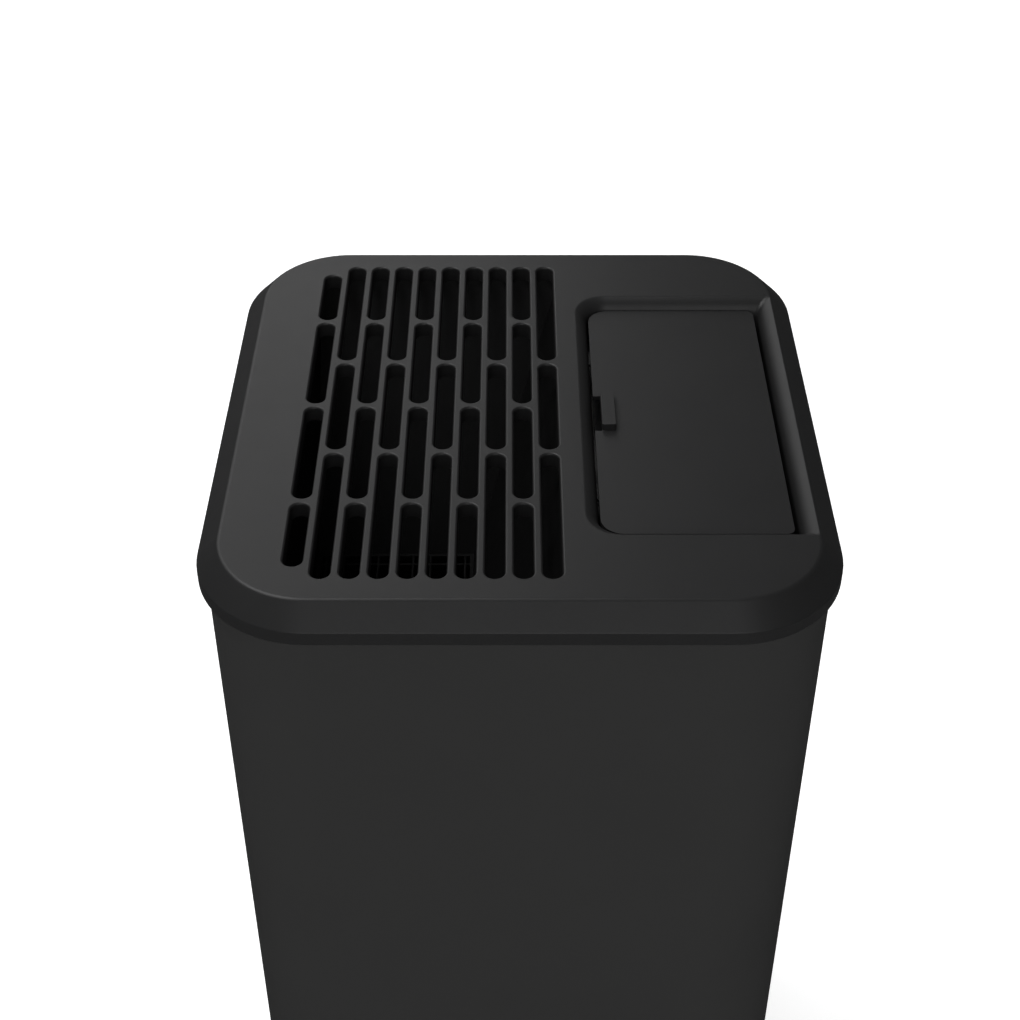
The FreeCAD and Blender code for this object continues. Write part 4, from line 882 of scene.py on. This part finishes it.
def makeSign(cap, strips):
    # four-sided band along each strip, sunk a little into the cap
    low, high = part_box(cap)
    middle = (low + high) / 2
    crown = (high.x - low.x) / 2 * signs["dome"]
    mesh = bmesh.new()
    for pairs, closed in strips:
        rings = []
        for pair in pairs:
            ring = []
            for (x, y), lift in ((pair[0], 1), (pair[1], 1), (pair[1], 0), (pair[0], 0)):
                fall = crown - math.sqrt(crown * crown - x * x - y * y)
                rise = signs["proud"] if lift else -signs["sunk"]
                ring.append(mesh.verts.new((middle.x + x, middle.y + y, high.z - fall + rise)))
            rings.append(ring)
        follow = rings[1:] + (rings[:1] if closed else [])
        for ring, after in zip(rings, follow):
            for i in range(4):
                j = (i + 1) % 4
                mesh.faces.new((ring[i], ring[j], after[j], after[i]))
        if not closed:
            mesh.faces.new(rings[0])
            mesh.faces.new(rings[-1][::-1])
    sign = toPiece(cap.replace("_button", "Sign"), mesh)
    dress(smooth(sign), "light_pipe", cap + "_cap")


signStrips = {
    "power_button": [arc(3.1 * mm, 125, 415), bar(0, 1.6 * mm, 0, 4.3 * mm)],
    "fan_down_button": [bar(-2.2 * mm, 0, 2.2 * mm, 0)],
    "fan_up_button": [bar(-2.2 * mm, 0, 2.2 * mm, 0), bar(0, signs["half"], 0, 2.2 * mm),
                      bar(0, -2.2 * mm, 0, -signs["half"])],
    "timer_button": [arc(2.7 * mm, 0, 360), bar(0, 0, 0, 1.7 * mm),
                     bar(signs["half"], 0, 1.4 * mm, 0)],
    "night_button": [crescent(2.5 * mm, 1.5 * mm)],
    "filter_reset_button": [dot(0.8 * mm)],
}
for nodeName, strips in signStrips.items():
    makeSign(nodeName, strips)
print("signs made:", len(signStrips))


# Painted shell

shellLow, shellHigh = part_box("body_shell")
bayLow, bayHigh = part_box("filter_housing")
inletLow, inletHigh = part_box("mains_inlet")
shell = {"corner": 51 * mm, "wall": 1.2 * mm, "rim": 0.35 * mm, "gap": 0.2 * mm,
         "bayFlange": 6 * mm}   # the housing's flange reaches that far behind the wall


def makeShell():
    half, corner, gap = (shellHigh.x, shellHigh.y), shell["corner"], shell["gap"]
    low, high, rim = shellLow.z, shellHigh.z, shell["rim"]
    section = [(rim, low), (0, low + rim), (0, high)]
    body = stack("bodyShell", [(centred(half, corner, i, 28), z) for i, z in section])
    carve(body, prism("core", centred(half, corner, shell["wall"], 28), low - mm, high + mm))
    side = shell["bayFlange"] - gap
    carve(body, block("doorway", bayLow.x + side, bayHigh.x - side, half[1] / 2, half[1] + mm,
                      bayLow.z + side, bayHigh.z - side))
    carve(body, block("inletWay", inletLow.x - gap, inletHigh.x + gap, half[1] / 2,
                      half[1] + mm, inletLow.z - gap, inletHigh.z + gap))
    return dress(smooth(body), "body_paint", "housing", "body_shell")


makeShell()
print("shell made")


# Rear door: slotted plate, closed edges, hinge barrel and finger grip

doorLow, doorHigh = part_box("rear_door")
magnetLow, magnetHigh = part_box("door_magnets")
door = {
    "plate": 3 * mm, "wall": 3 * mm, "stile": 6.5 * mm, "round": 0.8 * mm, "seam": 0.5 * mm,
    "barrel": 5 * mm, "barrelCut": 0.5 * mm, "bore": 2.05 * mm, "boreDepth": 11 * mm,
    "gripRadius": 11 * mm, "gripHalf": 22 * mm, "gripRound": 2 * mm, "gripAside": 3 * mm,
    "gripBehind": 5 * mm, "gripDepth": 8.5 * mm, "gripEnd": 3 * mm, "bridge": 2.5 * mm,
    "bridgeEnd": 4 * mm, "magnet": 20 * mm,
}
intake = {"width": 9 * mm, "pitch": 13.13 * mm, "firstX": -5 * 13.13 * mm, "period": 77.14 * mm,
          "gap": 4.2 * mm, "half": 176.1 * mm, "edge": 1.1 * mm, "plate": 3 * mm}
doorBack = doorHigh.y
doorLeft, doorRight = doorLow.x + door["barrel"], doorHigh.x
doorMiddle = (doorLow.z + doorHigh.z) / 2


def doorTray():
    # closed edges round a thin plate, a bridge behind the grip, and the hinge barrel
    x0, x1, y0, y1, z0, z1 = doorLeft, doorRight, doorLow.y, doorBack, doorLow.z, doorHigh.z
    panel = block("rearDoor", x0, x1, y0, y1, z0, z1)
    carve(panel, block("tray", x0 + door["wall"], x1 - door["stile"], y0 - mm,
                       y1 - door["plate"], z0 + door["wall"], z1 - door["wall"]))
    soften(panel, door["round"], 35, 3)
    reach = door["gripHalf"] + 2 * door["gripEnd"]
    weld(panel, block("bridge", x1 - door["gripDepth"] - door["bridge"], x1 - door["bridgeEnd"],
                      y0, y1 - door["plate"] / 2, doorMiddle - reach, doorMiddle + reach))
    r, cut = door["barrel"], door["barrelCut"]
    return weld(panel, turned("barrel", [(r - cut, z0), (r, z0 + cut), (r, z1 - cut),
                                         (r - cut, z1)], (x0, y1 - r, 0)))


def scoopTool():
    # drum with rounded ends, for the fingers
    r, half, bend = door["gripRadius"], door["gripHalf"], door["gripRound"]
    ends = [(r - bend, -half), (r - 0.3 * bend, -half + 0.3 * bend), (r, -half + bend)]
    return turned("scoop", ends + [(radius, -along) for radius, along in reversed(ends)],
                  (doorRight + door["gripAside"], doorBack + door["gripBehind"], doorMiddle),
                  steps=96)


def seamTools():
    # shallow grooves in the outer face: round the grille, and above and below the grip
    s = door["seam"] / 2
    x0, x1 = doorLeft + door["barrel"], doorRight - door["stile"]
    z0, z1 = doorLow.z + door["wall"], doorHigh.z - door["wall"]
    bars = [(x0 - s, x1 + s, z - s, z + s) for z in (z0, z1)]
    bars += [(x - s, x + s, z0 - s, z1 + s) for x in (x0, x1)]
    tools = [block("seamTool", a, b, doorBack - 2 * s, doorBack + mm, c, d) for a, b, c, d in bars]
    gripReach = door["gripHalf"] + door["gripEnd"]
    for z in (doorMiddle - gripReach, doorMiddle + gripReach):
        tools.append(block("seamTool", x1, doorRight + mm, doorBack - 2 * s, doorBack + mm,
                           z - s, z + s))
        tools.append(block("seamTool", doorRight - 2 * s, doorRight + mm, doorLow.y - mm,
                           doorBack + mm, z - s, z + s))
    return tools


def intakeTools():
    # the lid's slot pattern stood up against the door's outer face
    banks = [(0, 6, 5, intake["half"]), (1, 5, 4, intake["half"])]
    tools = slotTools(intake, banks)
    for tool in tools:
        tool.data.transform(Matrix.Translation((0, doorBack, doorMiddle))
                            @ Matrix.Rotation(math.radians(-90), 4, "X"))
    return tools


def fittingTools():
    # bores for the hinge pins and beds for the magnets
    z0, z1, deep = doorLow.z, doorHigh.z, door["boreDepth"]
    tools = [turned("pinTool", [(door["bore"], low), (door["bore"], high)],
                    (doorLeft, doorBack - door["barrel"], 0), steps=24)
             for low, high in ((z0 - mm, z0 + deep), (z1 - deep, z1 + mm))]
    for z in (magnetLow.z, magnetHigh.z - door["magnet"]):
        tools.append(block("magnetTool", magnetLow.x, magnetHigh.x, doorLow.y - mm, magnetHigh.y,
                           z, z + door["magnet"]))
    return tools


def makeDoor():
    panel = doorTray()
    carve(panel, scoopTool(), *seamTools(), *intakeTools(), *fittingTools())
    return dress(smooth(panel), "door_plastic", "filter_door", "rear_door", "door_grille",
                 "door_grip")


makeDoor()
print("door made")


# Washable net in front of the filter

prefilter = {"pitch": 1.2 * mm, "thread": 0.4 * mm}


def makeNet():
    low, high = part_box("prefilter_mesh")
    piece = net.run("prefilterNet", {"Width": high.x - low.x, "Height": high.z - low.z,
                                     "Pitch": prefilter["pitch"], "Thread": prefilter["thread"]})
    piece.data.transform(Matrix.Translation((low + high) / 2))
    return dress(piece, "mesh_cloth", "housing", "prefilter_mesh")


makeNet()
print("net made")


# Fitted parts that show, with their edges softened

softened = {
    "base_pan": 0.5 * mm, "filter_housing": 0.35 * mm, "mains_inlet": 0.5 * mm,
    "rubber_feet": 0.5 * mm, "prefilter_frame": 0.5 * mm, "outlet_guard": 0.2 * mm,
}
for nodeName, width in softened.items():
    refine(nodeName, nodeName.replace("_", " ").title().replace(" ", "") + "Soft", "housing", width)
print("softened:", len(softened))


# Stage, lights and camera

def areaLight(name, place, aim, size, power):
    data = bpy.data.lights.new(name, "AREA")
    data.shape = "RECTANGLE"
    data.size, data.size_y = size
    data.energy = power
    lamp = bpy.data.objects.new(name, data)
    lamp.location = place
    lamp.rotation_euler = (Vector(aim) - Vector(place)).to_track_quat("-Z", "Y").to_euler()
    bpy.context.scene.collection.objects.link(lamp)


studio = {
    "floor": 12, "glow": 0.75, "skyHigh": 0.15, "skyLow": 0.06,
    "softbox": {"place": (-0.85, 1.6, 1.6), "aim": (-0.3, 0, 0.6), "size": (1.9, 1.3), "power": 10},
    "upper": {"place": (-0.9, 0.25, 2.6), "aim": (0, 0, 0.5), "size": (1.4, 1.4), "power": 32},
    "front": {"place": (0.1, -2.0, 1.4), "aim": (0, 0, 0.3), "size": (1.6, 1.6), "power": 12},
}


def makeWorld():
    # a white backdrop, while what falls on the object is darker towards the horizon
    world = bpy.data.worlds.new("studio")
    world.use_nodes = True
    tree = world.node_tree
    backdrop = tree.nodes["Background"]
    backdrop.inputs["Color"].default_value = (1.0, 1.0, 1.0, 1.0)
    sky = tree.nodes.new("ShaderNodeBackground")
    way = tree.nodes.new("ShaderNodeTexCoord")
    parts = tree.nodes.new("ShaderNodeSeparateXYZ")
    rise = tree.nodes.new("ShaderNodeMapRange")
    rise.inputs["To Min"].default_value = studio["skyLow"]
    rise.inputs["To Max"].default_value = studio["skyHigh"]
    rays = tree.nodes.new("ShaderNodeLightPath")
    mix = tree.nodes.new("ShaderNodeMixShader")
    tree.links.new(way.outputs["Generated"], parts.inputs[0])
    tree.links.new(parts.outputs["Z"], rise.inputs["Value"])
    tree.links.new(rise.outputs[0], sky.inputs["Strength"])
    tree.links.new(rays.outputs["Is Camera Ray"], mix.inputs[0])
    tree.links.new(sky.outputs[0], mix.inputs[1])
    tree.links.new(backdrop.outputs[0], mix.inputs[2])
    tree.links.new(mix.outputs[0], tree.nodes["World Output"].inputs["Surface"])
    bpy.context.scene.world = world


floorMesh = bmesh.new()
bmesh.ops.create_grid(floorMesh, x_segments=8, y_segments=8, size=studio["floor"])
floor = toPiece("floor", floorMesh)
floor.data.materials.append(paleFloor("floorPale", studio["glow"]))
floor.visible_glossy = False
makeWorld()
for lampName in ("softbox", "upper", "front"):
    areaLight(lampName, **studio[lampName])

viewpoint = {"place": (-4.56 * mm, -724.77 * mm, 1121.37 * mm), "tilt": 50.85, "lens": 62.13}
cameraData = bpy.data.cameras.new("camera")
cameraData.sensor_width = 36.0
cameraData.lens = viewpoint["lens"]
camera = bpy.data.objects.new("camera", cameraData)
camera.location = viewpoint["place"]
camera.rotation_euler = (math.radians(viewpoint["tilt"]), 0.0, 0.0)
bpy.context.scene.collection.objects.link(camera)
bpy.context.scene.camera = camera
bpy.context.scene.view_settings.view_transform = "Standard"
print("stage and camera set")
